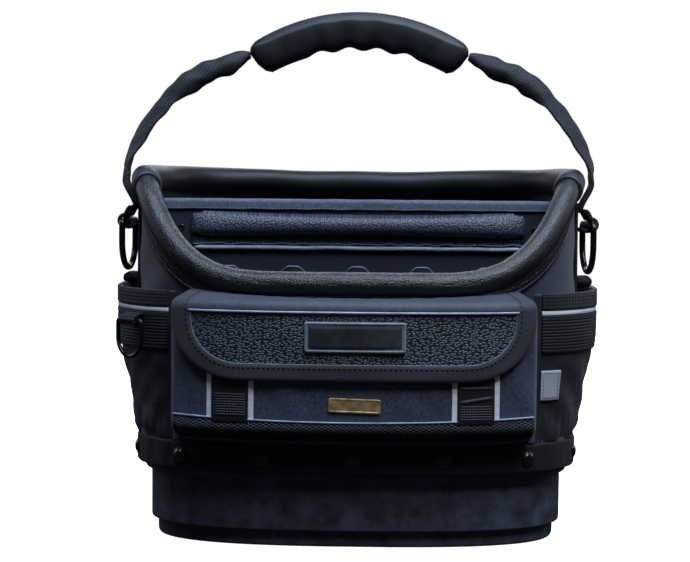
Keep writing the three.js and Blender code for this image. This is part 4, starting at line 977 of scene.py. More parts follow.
place(board_binding(), "nylon")
seam_half = inside_half_width(-WALL, DIVIDER_FRONT) - 4
seam_x = spaced(-seam_half, seam_half, 3.0)
place(tube("bolster_top_seam", np.column_stack([seam_x, np.full_like(seam_x, DIVIDER_FRONT - 0.9),
                                                BOLSTER_TOP - 0.2 + 0.15 * ripple(seam_x, 0, 30, 10, 38)]),
           0.8, bolster_leather, sides=10), "leather")


def bake_modifiers(obj):
    graph = bpy.context.evaluated_depsgraph_get()
    mesh = bpy.data.meshes.new_from_object(obj.evaluated_get(graph))
    obj.modifiers.clear()
    obj.data = mesh


PAD_FRAMES = 20


def puff(obj, pressure, cap, voxel):
    """Swells a pad with cloth, then keeps each point within a cap of where it started."""
    remesh = obj.modifiers.new("remesh", "REMESH")
    remesh.mode = "VOXEL"
    remesh.voxel_size = voxel * MM
    remesh.use_smooth_shade = True
    bake_modifiers(obj)
    start = np.empty(len(obj.data.vertices) * 3)
    obj.data.vertices.foreach_get("co", start)
    cloth = obj.modifiers.new("cloth", "CLOTH")
    cloth.settings.use_pressure = True
    cloth.settings.uniform_pressure_force = pressure
    cloth.settings.effector_weights.gravity = 0
    scene = bpy.context.scene
    scene.frame_start, scene.frame_end = 1, PAD_FRAMES
    for number in range(1, PAD_FRAMES + 1):
        scene.frame_set(number)
    bake_modifiers(obj)
    scene.frame_set(1)
    end = np.empty_like(start)
    obj.data.vertices.foreach_get("co", end)
    start, end = start.reshape(-1, 3), end.reshape(-1, 3)
    move = end - start
    size = np.linalg.norm(move, axis=1)
    share = cap * MM * np.tanh(size / (cap * MM)) / np.maximum(size, 1e-9)
    return start + move * share[:, None]


PAD_SHRINK = 1.6


def bolster(shrink):
    """A long pad, fullest low down, that slopes back to its upper edge and narrows to its ends."""
    back = DIVIDER_FRONT - GAP
    stations = rounded_run(-BOLSTER_HALF, BOLSTER_HALF, 3.0, 22)
    levels = (1 - np.cos(np.linspace(0, math.pi, 23))) / 2
    belly = 0.32
    low_part = np.sqrt(np.clip(1 - (1 - levels / belly) ** 2, 0, 1))
    high_part = np.cos(np.clip((levels - belly) / (1 - belly), 0, 1) * math.pi / 2) ** 0.7
    profile = np.where(levels < belly, low_part, high_part)
    middle = BOLSTER_TOP - BOLSTER_HIGH / 2
    rows = []
    for x in stations:
        rise = float(quarter_rise(BOLSTER_HALF - abs(x), 22))
        deep = (BOLSTER_DEEP - shrink) * (0.12 + 0.88 * rise)
        high = (BOLSTER_HIGH - shrink) * (0.9 + 0.1 * rise)
        out = 0.4 + (deep - 0.4) * profile
        front = np.column_stack([np.full_like(out, x), back - out, middle + (levels - 0.5) * high])
        rear = [(x, back, middle + share * high / 2) for share in (0.9, 0.45, 0, -0.45, -0.9)]
        rows.append(np.vstack([front, rear]))
    return sweep("divider_bolster_pad", np.array(rows), bolster_leather)


pad = bolster(PAD_SHRINK)
swollen = puff(pad, 4.0, 3.0, 3.0)
swollen[:, 1] = np.clip(swollen[:, 1], None, (DIVIDER_FRONT - GAP) * MM)
swollen[:, 2] = np.clip(swollen[:, 2], 228.5 * MM, (BOLSTER_TOP + 0.6) * MM)
pad.data.vertices.foreach_set("co", swollen.ravel())
pad.data.update()
if not pad.data.materials:
    pad.data.materials.append(bolster_leather)
smoother = pad.modifiers.new("subdivision", "SUBSURF")
smoother.levels = smoother.render_levels = 1
front_uv(pad, -0.5)
place(pad, "leather", "divider_bolster")


def bolster_hem():
    """The bolster's lower edge, sewn down flat and puckered between its stitches."""
    xs = spaced(-BOLSTER_HALF + 3, BOLSTER_HALF - 3, 1.6)
    levels = np.linspace(0, 1, 7)
    x, share = np.meshgrid(xs, levels, indexing="ij")
    edge = 225.3 + 0.45 * ripple(xs, 0, 15, 10, 31)[:, None]
    z = edge + (230.6 - edge) * share
    pucker = 0.5 * np.abs(np.sin(math.pi * x / 8.5 + 0.8 * ripple(x, 0, 40, 10, 32))) * (1 - share)
    front = DIVIDER_FRONT - GAP - 1.3 - pucker - 1.6 * share ** 2
    outer = np.stack([x, front, z], -1)
    inner = np.stack([x, np.full_like(x, DIVIDER_FRONT - GAP + 0.1), z], -1)
    return soften(shell("bolster_hem", outer, inner, bolster_leather, uv=(x, z)), 0.3)


place(bolster_hem(), "leather")
# painted highlight: a cord in the light thread colour along the hem's lower edge stands in for light caught on
# the leather's cut edge
hem_x = spaced(-BOLSTER_HALF + 3, BOLSTER_HALF - 3, 2.0)
hem_z = 226.2 + 0.45 * ripple(hem_x, 0, 15, 10, 31)
place(tube("bolster_hem_edge",
           np.column_stack([hem_x, DIVIDER_FRONT - GAP - 2.0 + 0.3 * ripple(hem_x, 0, 9, 10, 34), hem_z]),
           0.6, light_thread, sides=8), "leather")
for side, name in ((-1, "left"), (1, "right")):
    snap = [(2.6, 0.0), (2.6, 0.5), (2.3, 0.9), (1.7, 1.0), (1.4, 0.7), (0.5, 0.7)]
    place(turned_cap(f"board_snap_{name}", (side * 140.5, DIVIDER_FRONT - 0.1, 238.5), (0, -1, 0), snap,
                     gloss_metal, 20),
          "black_metal")
hem_line = spaced(-BOLSTER_HALF + 5, BOLSTER_HALF - 5, 2.0)
stitches("bolster_stitching", [np.column_stack([hem_line, np.full_like(hem_line, -0.15),
                                                np.full_like(hem_line, 227.6)])], 3.4, 2.5, 0.38,
                                                light_thread, "leather")


piping_x = spaced(-STRIP_HALF, STRIP_HALF, 4)
piping_ends = np.minimum(1, 0.45 + 0.55 * quarter_rise(STRIP_HALF - np.abs(piping_x), 2.5))
place(tube("divider_piping_cord",
           np.column_stack([piping_x, np.full_like(piping_x, DIVIDER_FRONT - GAP - 1.75),
                            DIVIDER_PIPING + 0.2 * ripple(piping_x, 0, 60, 10, 41)]),
           1.75, piping_tape, radii=1.75 * piping_ends), "reflective", "divider_piping")


def tool_strip():
    """Strip of cloth that arches out into sleeves for tools."""
    middles = (np.arange(LOOP_COUNT) - (LOOP_COUNT - 1) / 2) * LOOP_PITCH
    line = [(-STRIP_HALF, 1.0)]
    for middle in middles:
        line.append((middle - LOOP_RADIUS - 2.6, 1.0))
        for turn in np.linspace(math.pi, 0, 15)[1:-1]:
            line.append((middle + (LOOP_RADIUS + 1) * math.cos(turn),
                         1.0 + (LOOP_RADIUS + 0.2) * math.sin(turn)))
        line.append((middle + LOOP_RADIUS + 2.6, 1.0))
    line.append((STRIP_HALF, 1.0))
    path = resample(fillet(line, 1.2, 2), 1.6)
    along = np.concatenate([[0], np.cumsum(np.hypot(*np.diff(path.T)))])
    tangent = np.gradient(path, axis=0)
    tangent /= np.linalg.norm(tangent, axis=1)[:, None]
    normal = np.column_stack([-tangent[:, 1], tangent[:, 0]])
    heights = np.concatenate([np.linspace(0, 4, 3), np.linspace(8, STRIP_HIGH - 6, 9),
                              np.linspace(STRIP_HIGH - 4, STRIP_HIGH, 4)])
    from_sleeve = np.abs((path[:, 0] / LOOP_PITCH + 0.5) % 1 - 0.5) * LOOP_PITCH
    dip = 7.0 * ease((from_sleeve - 0.35 * LOOP_RADIUS) / (0.9 * LOOP_RADIUS))
    hem = np.column_stack([path[:, 0] + normal[:, 0] * 1.2,
                           DIVIDER_FRONT - GAP - path[:, 1] - normal[:, 1] * 1.2,
                           STRIP_TOP - dip - 0.4])
    place(tube("sleeve_hem_cord", resample(hem, 2.0), 0.75, light_thread, sides=8), "nylon")
    shape = []
    for lift in (1.0, -0.85):
        grid = []
        for height in heights:
            roll = 0.5 * (height > STRIP_HIGH - 5) if lift > 0 else 0
            line = path + normal * (lift + roll)
            grid.append(np.column_stack([line[:, 0], DIVIDER_FRONT - GAP - line[:, 1],
                                         STRIP_TOP - STRIP_HIGH + height * (1 - dip / STRIP_HIGH)]))
        shape.append(np.stack(grid, 1))
    return soften(shell("tool_sleeves", shape[0], shape[1], inside, uv=(along, heights)), 0.4)


place(tool_strip(), "nylon", "tool_loop_strip")
sleeve_edges = []
for k in range(LOOP_COUNT + 1):
    x = (k - LOOP_COUNT / 2) * LOOP_PITCH
    x = float(np.clip(x, -STRIP_HALF + 3, STRIP_HALF - 3))
    sleeve_edges.append([(x, DIVIDER_FRONT - GAP - 2.1, z) for z in np.linspace(152, 206, 28)])
stitches("sleeve_stitching", sleeve_edges, 3.2, 2.4, 0.35, dark_thread, "nylon")


# Front pocket
def pocket_out(arc, height, skin=0.0):
    side = quarter_rise(POCKET_SPAN - skin - np.abs(arc), POCKET_SIDE_RUN)
    low = quarter_rise(height - POCKET_BOTTOM - skin, POCKET_LOW_RUN)
    return GAP + (POCKET_DEEP - skin) * side * low


def pocket_swell(arc, height):
    """Folds of the cloth between the pocket's bands; none where trim lies flat on it."""
    trims = np.minimum.reduce([ease((np.abs(np.abs(arc) - LADDER_ARC) - 17) / 14),
                               ease((np.abs(arc) - 21) / 14),
                               ease((POCKET_SPAN - 4 - np.abs(arc)) / 14)])
    return 0.7 * ripple(arc, height, 42, 90, 51) * trims * ease((height - MESH_TOP) / 14)


pocket_arcs = rounded_run(-POCKET_SPAN, POCKET_SPAN, 2.4, POCKET_SIDE_RUN)
pocket_heights = np.concatenate([POCKET_BOTTOM + POCKET_LOW_RUN
                                 * (1 - np.cos(np.linspace(0, math.pi / 2, 10))),
                                 spaced(POCKET_BOTTOM + POCKET_LOW_RUN, POCKET_TOP, 3)[1:]])


def front_pocket():
    a, z = np.meshgrid(pocket_arcs, pocket_heights, indexing="ij")
    outer = wall(a, z, pocket_out(a, z) + pocket_swell(a, z))
    inner_a = a * (1 - SKIN / POCKET_SPAN)
    inner_z = POCKET_TOP - (POCKET_TOP - z) * (1 - SKIN / (POCKET_TOP - POCKET_BOTTOM))
    inner = wall(inner_a, inner_z, pocket_out(inner_a, inner_z, SKIN) + pocket_swell(a, z))
    return shell("front_pocket_cloth", outer, inner, pocket_nylon, uv=(a, z), inner_look=inside)


pocket_piece = place(front_pocket(), "nylon", "front_pocket")


def pocket_trim(name, arcs, heights, lift, thick, look, swell=0.0, edge=0.5):
    """Trim lying on the front pocket, thinner at its edges."""
    def outer(a, z):
        near = np.minimum(quarter_rise(a - arcs[0], edge), quarter_rise(arcs[-1] - a, edge))
        near = np.minimum(near, np.minimum(quarter_rise(z - heights[0], edge),
                                           quarter_rise(heights[-1] - z, edge)))
        return pocket_out(a, z) + lift + thick * (0.35 + 0.65 * near) + (swell(a, z) if callable(swell)
                                                                         else swell)
    return wall_skin(name, arcs, heights, outer, lambda a, z: pocket_out(a, z) + lift - 0.2, look)


def mesh_dip(arc):
    """The knit panel's top edge sags a little towards the middle."""
    return 1.6 - 3.2 * np.cos(np.clip(arc / 125, -1, 1) * math.pi / 2)


def knit_panel():
    span = POCKET_SPAN - 9
    arcs = rounded_run(-span, span, 2.0, 8)
    shares = np.concatenate([np.linspace(0, 0.5, 12), np.linspace(0.5, 0.96, 8)[1:], [0.98, 1.0]])
    a = np.repeat(arcs[:, None], len(shares), 1)
    low = POCKET_BOTTOM + 2.0
    top = MESH_TOP + 1.0 + mesh_dip(arcs)
    z = low + (top - low)[:, None] * shares[None, :]
    lift = 0.7 + 0.9 * np.sin(math.pi * np.clip(shares, 0, 1))[None, :] + 0.15 * ripple(a, z, 12, 12, 55)
    return shell("knit_panel", wall(a, z, pocket_out(a, z) + lift), wall(a, z, pocket_out(a, z) + 0.1),
                 knit, uv=(a, z))


place(knit_panel(), "leather", "pocket_mesh_panel")
edge_arcs = spaced(-POCKET_SPAN + 9, POCKET_SPAN - 9, 2.5)
edge_top = MESH_TOP + 1.0 + mesh_dip(edge_arcs)
edge_line = wall(edge_arcs, edge_top, pocket_out(edge_arcs, edge_top) + 1.0)
place(tube("knit_panel_cord", edge_line, 0.75, piping_tape, sides=8), "reflective")


def slatted(name, side, levels, look):
    """Webbing laid in ribs over a reflective tape: levels are (low, high, lift) of each rib."""
    pieces_v, pieces_f, pieces_uv = [], [], []
    for low, high, lift, slant in levels:
        arcs = spaced(side * LADDER_ARC - RIB_HALF, side * LADDER_ARC + RIB_HALF, 2.6)
        turns = np.linspace(0, math.pi, 9)
        middle, half = (low + high) / 2, (high - low) / 2
        tilt = slant * (arcs - side * LADDER_ARC) / RIB_HALF
        start = len(pieces_v)
        for i, arc in enumerate(arcs):
            near_end = min(1.0, 0.55 + 0.45
                           * float(quarter_rise(RIB_HALF - abs(arc - side * LADDER_ARC), 1.2)))
            for turn in turns:
                z = middle + half * math.cos(turn) + tilt[i]
                out = float(pocket_out(arc, z)) + 1.1 + lift * math.sin(turn) ** 0.7 * near_end
                pieces_v.append(wall(arc, z, out))
        m = len(turns)
        for i in range(len(arcs) - 1):
            for j in range(m - 1):
                a, b = start + i * m + j, start + (i + 1) * m + j
                pieces_f.append((a, b, b + 1, a + 1))
                pieces_uv += [(arcs[i], j), (arcs[i + 1], j), (arcs[i + 1], j + 1), (arcs[i], j + 1)]
            pieces_f.append((start + i * m, start + (i + 1) * m, start + (i + 1) * m + m - 1,
                             start + i * m + m - 1))
            pieces_uv += [(arcs[i], 0), (arcs[i + 1], 0), (arcs[i + 1], 3), (arcs[i], 3)]
        for i in (0, len(arcs) - 1):
            pieces_f.append(tuple(start + i * m + j for j in range(m)))
            pieces_uv += [(arcs[i], j) for j in range(m)]
    return make_object(name, np.array(pieces_v), pieces_f, pieces_uv, [look])


left_ribs = [(127.4, 129.6, 1.4, 0.0)] + [(103.6 + 1.9 * k, 105.1 + 1.9 * k, 1.3, 0.0) for k in range(9)]
right_ribs = ([(124.6, 126.8, 1.4, 0.0), (115.4, 118.2, 1.6, 1.8)]
              + [(101.6 + 1.9 * k, 103.1 + 1.9 * k, 1.3, 0.0) for k in range(6)])
for name, side, ribs in (("left", -1, left_ribs), ("right", 1, right_ribs)):
    centre = side * LADDER_ARC
    tape = pocket_trim(f"reflective_band_{name}", edge_run(centre - TAPE_HALF, centre + TAPE_HALF, 2.4),
                       edge_run(MESH_TOP - 2.4, LADDER_TOP, 2.6), 0.25, 0.5, reflective)
    place(tape, "reflective", f"reflective_tape_{name}")
    web = pocket_trim(f"webbing_band_{name}", edge_run(centre - WEB_HALF, centre + WEB_HALF, 2.4, 0.8),
                      edge_run(MESH_TOP - 2.0, LADDER_TOP, 2.4), 0.8, 1.0, band_nylon, edge=0.8)
    place(web, "webbing", f"webbing_ladder_{name}")
    place(slatted(f"webbing_ribs_{name}", side, ribs, rib_webbing), "webbing")


def bevelled_plate(name, centre, half_wide, half_high, out_at, profile, look, corner=1.0, tilt=0.0):
    """A plate of rounded-rectangle rings; the profile is (inset, lift) from its edge to its middle."""
    rows = []
    for inset, lift in profile:
        wide, high = half_wide - inset, half_high - inset
        radius = max(0.15, corner - inset * 0.6)
        outline = fillet([(-wide, -high), (wide, -high), (wide, high), (-wide, high)], radius * 1.4, 4, True)
        outline = densify(outline, 10)
        turned = outline @ np.array([[math.cos(tilt), math.sin(tilt)], [-math.sin(tilt), math.cos(tilt)]])
        arc, height = centre[0] + turned[:, 0], centre[1] + turned[:, 1]
        rows.append(wall(arc, height, out_at(arc, height) + lift))
    obj = sweep(name, np.array(rows), look)
    front_uv(obj)
    return obj


def densify(outline, per_side):
    """Adds points along the straight sides of a closed outline, the same number on each."""
    done = []
    count = len(outline)
    for i in range(count):
        a, b = outline[i], outline[(i + 1) % count]
        done.append(a)
        if i % (count // 4) == count // 4 - 1:
            for k in range(1, per_side):
                done.append(a + (b - a) * k / per_side)
    return np.array(done)


plate_profile = [(0.0, 0.0), (0.0, 0.7), (0.35, 1.15), (0.8, 1.2), (1.3, 1.2), (1.55, 0.98), (3.0, 0.95)]
plate = bevelled_plate("bare_plate", (1.4, 112.2), 19.3, 5.5, lambda a, z: pocket_out(a, z) + GAP,
                       plate_profile, brass,
                       1.2, math.radians(-1.6))
place(soften(plate, 0.12, 2, 30), "brass", "name_plate")


# Flap
FLAP_SLOPE = math.hypot(FLAP_FRONT_OUT - FLAP_TURN - FLAP_REAR_OUT, FLAP_REAR - FLAP_FRONT)
FLAP_BEND = FLAP_TURN * math.pi / 2
FLAP_STRAIGHT = FLAP_SLOPE + FLAP_BEND


def flap_point(arc, run, lift):
    """A point of the flap at an arc length and a run from its rear edge, lifted off its under face."""
    arc, run, lift = np.broadcast_arrays(*(np.asarray(v, float) for v in (arc, run, lift)))
    rear = FLAP_REAR + FLAP_REAR_RISE * (np.clip(np.abs(arc), 0, FLAP_SPAN) / FLAP_SPAN) ** 2
    share = np.clip(run / FLAP_SLOPE, -0.1, 1)
    turn_out, turn_z = FLAP_FRONT_OUT - FLAP_TURN, FLAP_FRONT - FLAP_TURN
    crown = 0.8 * np.sin(math.pi * np.clip(share, 0, 1)) * np.cos(np.clip(arc / FLAP_SPAN, -1, 1)
                                                                  * math.pi / 2)
    slope_out = FLAP_REAR_OUT + (turn_out - FLAP_REAR_OUT) * share
    slope_z = rear + (FLAP_FRONT - rear) * share + lift + crown
    angle = math.pi / 2 * (1 - np.clip((run - FLAP_SLOPE) / FLAP_BEND, 0, 1))
    bend_out = turn_out + (FLAP_TURN + lift) * np.cos(angle)
    bend_z = turn_z + (FLAP_TURN + lift) * np.sin(angle)
    down = np.clip(run - FLAP_STRAIGHT, 0, None)
    hang = 0.35 * ripple(arc, down, 90, 60, 61) * ease(down / 30)
    drop_z = turn_z - down
    out = np.where(run <= FLAP_SLOPE, slope_out,
                   np.where(run <= FLAP_STRAIGHT, bend_out, FLAP_FRONT_OUT + lift + hang))
    height = np.where(run <= FLAP_SLOPE, slope_z, np.where(run <= FLAP_STRAIGHT, bend_z, drop_z))
    return wall(arc, height, out)


FLAP_HEM_RUN = FLAP_STRAIGHT + FLAP_FRONT - FLAP_TURN - FLAP_BOTTOM


def hem_run(arc):
    past = np.clip(np.abs(arc) - (FLAP_SPAN - FLAP_CORNER), 0, FLAP_CORNER)
    return FLAP_HEM_RUN - (FLAP_CORNER - np.sqrt(FLAP_CORNER ** 2 - past ** 2))


def flap_arc_run(inset=0.0):
    corner = FLAP_SPAN - FLAP_CORNER
    reach = FLAP_CORNER - inset
    turn = corner + reach * np.sin(np.linspace(0, math.pi / 2, 15))
    return np.concatenate([-turn[::-1], spaced(-corner, corner, 2.6)[1:-1], turn])


def flap_leaf():
    arcs = flap_arc_run()
    shares_top = np.concatenate([np.linspace(0, FLAP_SLOPE, 9),
                                 np.linspace(FLAP_SLOPE, FLAP_STRAIGHT, 8)[1:]])
    rows = []
    for arc in arcs:
        rows.append(np.concatenate([shares_top,
                FLAP_STRAIGHT + (float(hem_run(arc)) - FLAP_STRAIGHT) * np.linspace(0, 1, 22)[1:]]))
    run = np.array(rows)
    a = np.repeat(arcs[:, None], run.shape[1], 1)
    return shell("flap_leather", flap_point(a, run, FLAP_THICK), flap_point(a, run, 0.0), flap_leather,
                 uv=(a, -run),
                 inner_look=inside)


flap_piece = place(flap_leaf(), "leather", "pocket_flap")


def flap_edge():
    """The flap's free edge as rows of (arc, run, inward arc, inward run, width)."""
    corner = FLAP_SPAN - FLAP_CORNER
    rows = [(FLAP_SPAN, run, -1.0, 0.0) for run in np.linspace(0.0, FLAP_HEM_RUN - FLAP_CORNER, 30)[:-1]]
    for angle in np.linspace(0, math.pi / 2, 22):
        rows.append((corner + FLAP_CORNER * math.cos(angle),
                     FLAP_HEM_RUN - FLAP_CORNER + FLAP_CORNER * math.sin(angle),
                     -math.cos(angle), -math.sin(angle)))
    rows += [(arc, FLAP_HEM_RUN, 0.0, -1.0) for arc in spaced(corner, -corner, 2.4)[1:-1]]
    mirrored = [(-arc, run, -inward, inward_run) for arc, run, inward, inward_run in rows[:51]]
    return rows + mirrored[::-1]


def flap_binding():
    section = []
    for share, lift in ((1.0, 0.15), (0.985, 0.75), (0.94, 1.1), (0.8, 1.28), (0.6, 1.32), (0.4, 1.34),
                        (0.2, 1.34), (0.06, 1.3)):
        section.append((share, 0.0, lift + FLAP_THICK))
    for angle in np.linspace(math.pi / 2, -math.pi / 2, 8)[1:]:
        section.append((0.0, -1.7 * math.cos(angle),
                        FLAP_THICK / 2 - 0.1 + (FLAP_THICK / 2 + 1.3) * math.sin(angle)))
    section += [(0.3, 0.0, -1.2), (0.5, 0.0, -1.0), (0.52, 0.0, -0.05), (0.3, 0.0, 0.15),
                (0.3, 0.0, FLAP_THICK - 0.15), (0.96, 0.0, FLAP_THICK - 0.1)]
    rows = []
    for arc, run, inward_arc, inward_run in flap_edge():
        width = math.hypot(BINDING_SIDE * inward_arc, (BINDING_LOW + 1) * inward_run)
        width += 0.25 * float(ripple(arc * 1.3 + run, run, 30, 30, 71))
        line = []
        for share, beyond, lift in section:
            reach = share * width + beyond + 1.4
            line.append(flap_point(arc + inward_arc * reach, run + inward_run * reach, lift))
        rows.append(line)
    return sweep("flap_binding_tape", np.array(rows), binding)


place(flap_binding(), "binding", "flap_binding")


def binding_line(share, lift):
    points = []
    for arc, run, inward_arc, inward_run in flap_edge():
        width = math.hypot(BINDING_SIDE * inward_arc, (BINDING_LOW + 1) * inward_run)
        reach = share * width + 1.4
        points.append(flap_point(arc + inward_arc * reach, run + inward_run * reach, lift))
    return np.array(points)


stitches("flap_stitching", [binding_line(0.76, FLAP_THICK + 1.34)], 3.8, 2.6, 0.72, dark_thread, "binding")
place(tube("binding_edge_cord", binding_line(1.0, FLAP_THICK + 0.45), 0.55, light_thread, sides=7), "binding")


def flap_top_strip():
    span = FLAP_SPAN - BINDING_SIDE
    arcs = edge_run(-span, span, 2.6)
    runs = np.concatenate([np.linspace(0.5, FLAP_SLOPE, 8),
                           np.linspace(FLAP_SLOPE, FLAP_STRAIGHT - 0.2, 8)[1:]])
    a, r = np.meshgrid(arcs, runs, indexing="ij")
    lift = FLAP_THICK + GAP + 0.8 + 0.12 * ripple(a, r, 20, 30, 75)
    return shell("flap_top_cloth", flap_point(a, r, lift), flap_point(a, r, FLAP_THICK + 0.05), top_nylon,
                 uv=(a, -r))


place(soften(flap_top_strip(), 0.4), "nylon", "flap_top_strip")
piping_arcs = spaced(-(FLAP_SPAN - BINDING_SIDE), FLAP_SPAN - BINDING_SIDE, 2.6)
place(tube("flap_piping_cord", flap_point(piping_arcs, FLAP_STRAIGHT + 1.0, FLAP_THICK + 0.9), 0.95,
           piping_tape, sides=10),
      "reflective", "flap_piping")

badge_out = lambda a, z: FLAP_FRONT_OUT + FLAP_THICK + GAP + 0 * a
badge_profile = [(0.0, -0.4), (0.0, 1.5), (0.5, 2.15), (1.0, 2.35), (1.6, 2.35), (2.0, 1.9)]
badge_piece = bevelled_plate("badge_frame", (1.6, 163.7), 36.5, 11.5, badge_out, badge_profile,
                             frame_rubber, 1.6)
badge_inner = [(0.0, 0.2), (0.0, 1.3), (0.4, 1.75), (2.6, 2.35), (3.2, 2.38), (6.0, 2.38)]
inner_piece = bevelled_plate("badge_field", (1.6, 163.7), 34.4, 9.4, badge_out, badge_inner, badge_rubber,
                             1.0)
place(soften(badge_piece, 0.15, 2, 30), "rubber", "badge")
place(soften(inner_piece, 0.2, 2, 25), "rubber")


# Side pockets
SPAN_TABLE = ((0, 0), (0.03, 0.2), (0.1, 0.42), (0.2, 0.64), (0.3, 0.82), (0.4, 0.94), (0.5, 1), (0.75, 1),
              (0.84, 0.87),
              (0.9, 0.72), (0.97, 0.35), (1, 0))
HEIGHT_TABLE = ((0, 0), (0.06, 0.14), (0.16, 0.27), (0.28, 0.42), (0.42, 0.61), (0.55, 0.84), (0.66, 0.98),
                (0.75, 1), (1, 1))


def smooth_table(rows, value):
    """Interpolates a table and softens its corners."""
    at, to = np.array(rows, float).T
    total = 0.0
    for shift, weight in ((-0.035, 0.2), (-0.0175, 0.2), (0, 0.2), (0.0175, 0.2), (0.035, 0.2)):
        total = total + weight * np.interp(value + shift, at, to)
    near = np.minimum(ease(value / 0.05),
                      ease((1 - value) / 0.05)) if rows[-1][1] == 0 else ease(value / 0.05)
    return np.interp(value, at, to) * (1 - near) + total * near


def side_out(arc, height):
    reach = np.abs(arc)
    span = (reach - SIDE_FRONT) / (SIDE_REAR - SIDE_FRONT)
    share = (height - SIDE_BOTTOM) / (SIDE_TOP - SIDE_BOTTOM)
    return GAP + SIDE_DEEP * smooth_table(SPAN_TABLE, span) * smooth_table(HEIGHT_TABLE, share)


def side_folds(arc, height):
    """Gathers above the band and folds of the pocket's cloth, none under its trims."""
    reach = np.abs(arc)
    edge = np.minimum(ease((reach - SIDE_FRONT - 3) / 14), ease((SIDE_REAR - reach - 3) / 14))
    below = ease((WEBBING_BOTTOM - height) / 10)
    low = ease((112 - height) / 22) * ease((height - SIDE_BOTTOM) / 6)
    gathers = 1.1 * np.abs(np.sin(math.pi * reach / 9.5 + 1.3 * ripple(arc, height, 60, 40, 83))) * low
    return edge * (0.9 * ripple(arc, height, 34, 40, 81) * below + gathers)


def side_skin(name, side, start, end, low, high, lift, thick, look, relief=None, step=2.4, flare=0.0):
    arcs = edge_run(start, end, step)
    heights = edge_run(low, high, 2.2, 0.6)
    def outer(a, z):
        near = np.minimum(quarter_rise(z - low, 0.7), quarter_rise(high - z, 0.7))
        raised = relief(a, z) if relief else 0.0
        return side_out(a, z) + lift + thick * (0.3 + 0.7
                * near) + raised * near + flare * ease((z - low) / (high - low))
    obj = wall_skin(name, side * arcs, heights, outer, lambda a, z: side_out(a, z) + lift - 0.25, look)
    return obj


def side_pocket(side):
    arcs = rounded_run(SIDE_FRONT, SIDE_REAR, 2.3, 10)
    heights = np.concatenate([SIDE_BOTTOM + 8 * (1 - np.cos(np.linspace(0, math.pi / 2, 6))),
                              spaced(SIDE_BOTTOM + 8, SIDE_TOP, 2.4)[1:]])
    a, z = np.meshgrid(arcs, heights, indexing="ij")
    middle = (SIDE_FRONT + SIDE_REAR) / 2
    folds = side_folds(side * a, z)
    outer = wall(side * a, z, side_out(a, z) + folds)
    inner_a = middle + (a - middle) * (1 - 2 * SKIN / (SIDE_REAR - SIDE_FRONT))
    inner_z = SIDE_TOP - (SIDE_TOP - z) * (1 - SKIN / (SIDE_TOP - SIDE_BOTTOM))
    inner = wall(side * inner_a, inner_z, GAP + (side_out(a, z) - GAP) * (1 - SKIN / SIDE_DEEP) + 0.6 * folds)
    name = "left" if side < 0 else "right"
    return shell(f"side_pocket_cloth_{name}", outer, inner, side_nylon, uv=(side * a, z), inner_look=inside)


def cuff_ribs(arc, height):
    reach = np.abs(arc)
    return 0.35 * np.abs(np.sin(math.pi * (reach + 0.22 * (height - CUFF_BOTTOM)) / 3.2))


def grid_ribs(arc, height):
    return 0.25 * np.abs(np.sin(math.pi * (height - WEBBING_BOTTOM) / 3.4))


side_stitch_paths = []
side_pieces = {}
for side, name in ((-1, "left"), (1, "right")):
    side_pieces[name] = place(side_pocket(side), "nylon", f"side_pocket_{name}")
    place(side_skin(f"side_cuff_{name}", side, TRIM_FRONT, TRIM_REAR, CUFF_BOTTOM, SIDE_TOP, 0.25, 1.2,
                    cuff_webbing, cuff_ribs, 0.8),
          "binding", f"side_pocket_cuff_{name}")
    place(side_skin(f"side_stripe_{name}", side, TRIM_FRONT, TRIM_REAR, STRIPE_BOTTOM, CUFF_BOTTOM - 0.3,
                    0.25, 1.0, reflective),
          "reflective", f"side_pocket_stripe_{name}")
    place(side_skin(f"side_webbing_{name}", side, TRIM_FRONT, TRIM_REAR, WEBBING_BOTTOM,
                    STRIPE_BOTTOM - 0.3, 0.25, 1.1, webbing, grid_ribs),
          "webbing", f"side_pocket_webbing_{name}")
    row = spaced(TRIM_FRONT + 2, TRIM_REAR - 2, 2.0)
    for height in (WEBBING_BOTTOM + 1.7, STRIPE_BOTTOM - 2.0, CUFF_BOTTOM + 1.6):
        side_stitch_paths.append(wall(side * row, height, side_out(row, height) + 1.55))
    seam = wall(side * row, 107.0, side_out(row, 107.0) + side_folds(side * row, 107.0) + 0.1)
    side_stitch_paths.append(seam)
stitches("side_pocket_stitching", side_stitch_paths, 3.6, 2.6, 0.34, dark_thread, "webbing")

label = side_skin("bare_label", 1, TRIM_FRONT, TRIM_FRONT + 17, 112.0, 135.0, 1.0, 0.9, label_cloth, step=1.6)
place(label, "label", "side_label")
frame_arcs = np.array([TRIM_FRONT + 1.8, TRIM_FRONT + 15.2, TRIM_FRONT + 15.2, TRIM_FRONT + 1.8,
                       TRIM_FRONT + 1.8])
frame_heights = np.array([114.0, 114.0, 133.0, 133.0, 114.0])
border = resample(np.column_stack([frame_arcs, frame_heights]), 1.0)
stitches("label_stitching", [wall(border[:, 0], border[:, 1], side_out(border[:, 0], border[:, 1]) + 1.95)],
         2.6, 1.7, 0.3,
         dark_thread, "label")


def seam_strip(side):
    """Binding down the edge of the front pocket, where it is sewn to the wall."""
    arcs = edge_run(POCKET_SPAN - 0.5, SIDE_FRONT + 1.5, 1.0)
    heights = edge_run(BAND_TOP + 1, POCKET_TOP + 4, 3.0)
    def outer(a, z):
        near = np.minimum(quarter_rise(np.abs(a) - arcs[0], 1.5), quarter_rise(arcs[-1] - np.abs(a), 1.5))
        return 0.5 + 1.6 * near + 0.15 * ripple(a, z, 30, 18, 91)
    return wall_skin(f"pocket_seam_{'left' if side < 0 else 'right'}", side * arcs, heights, outer, 0.1,
                     binding)


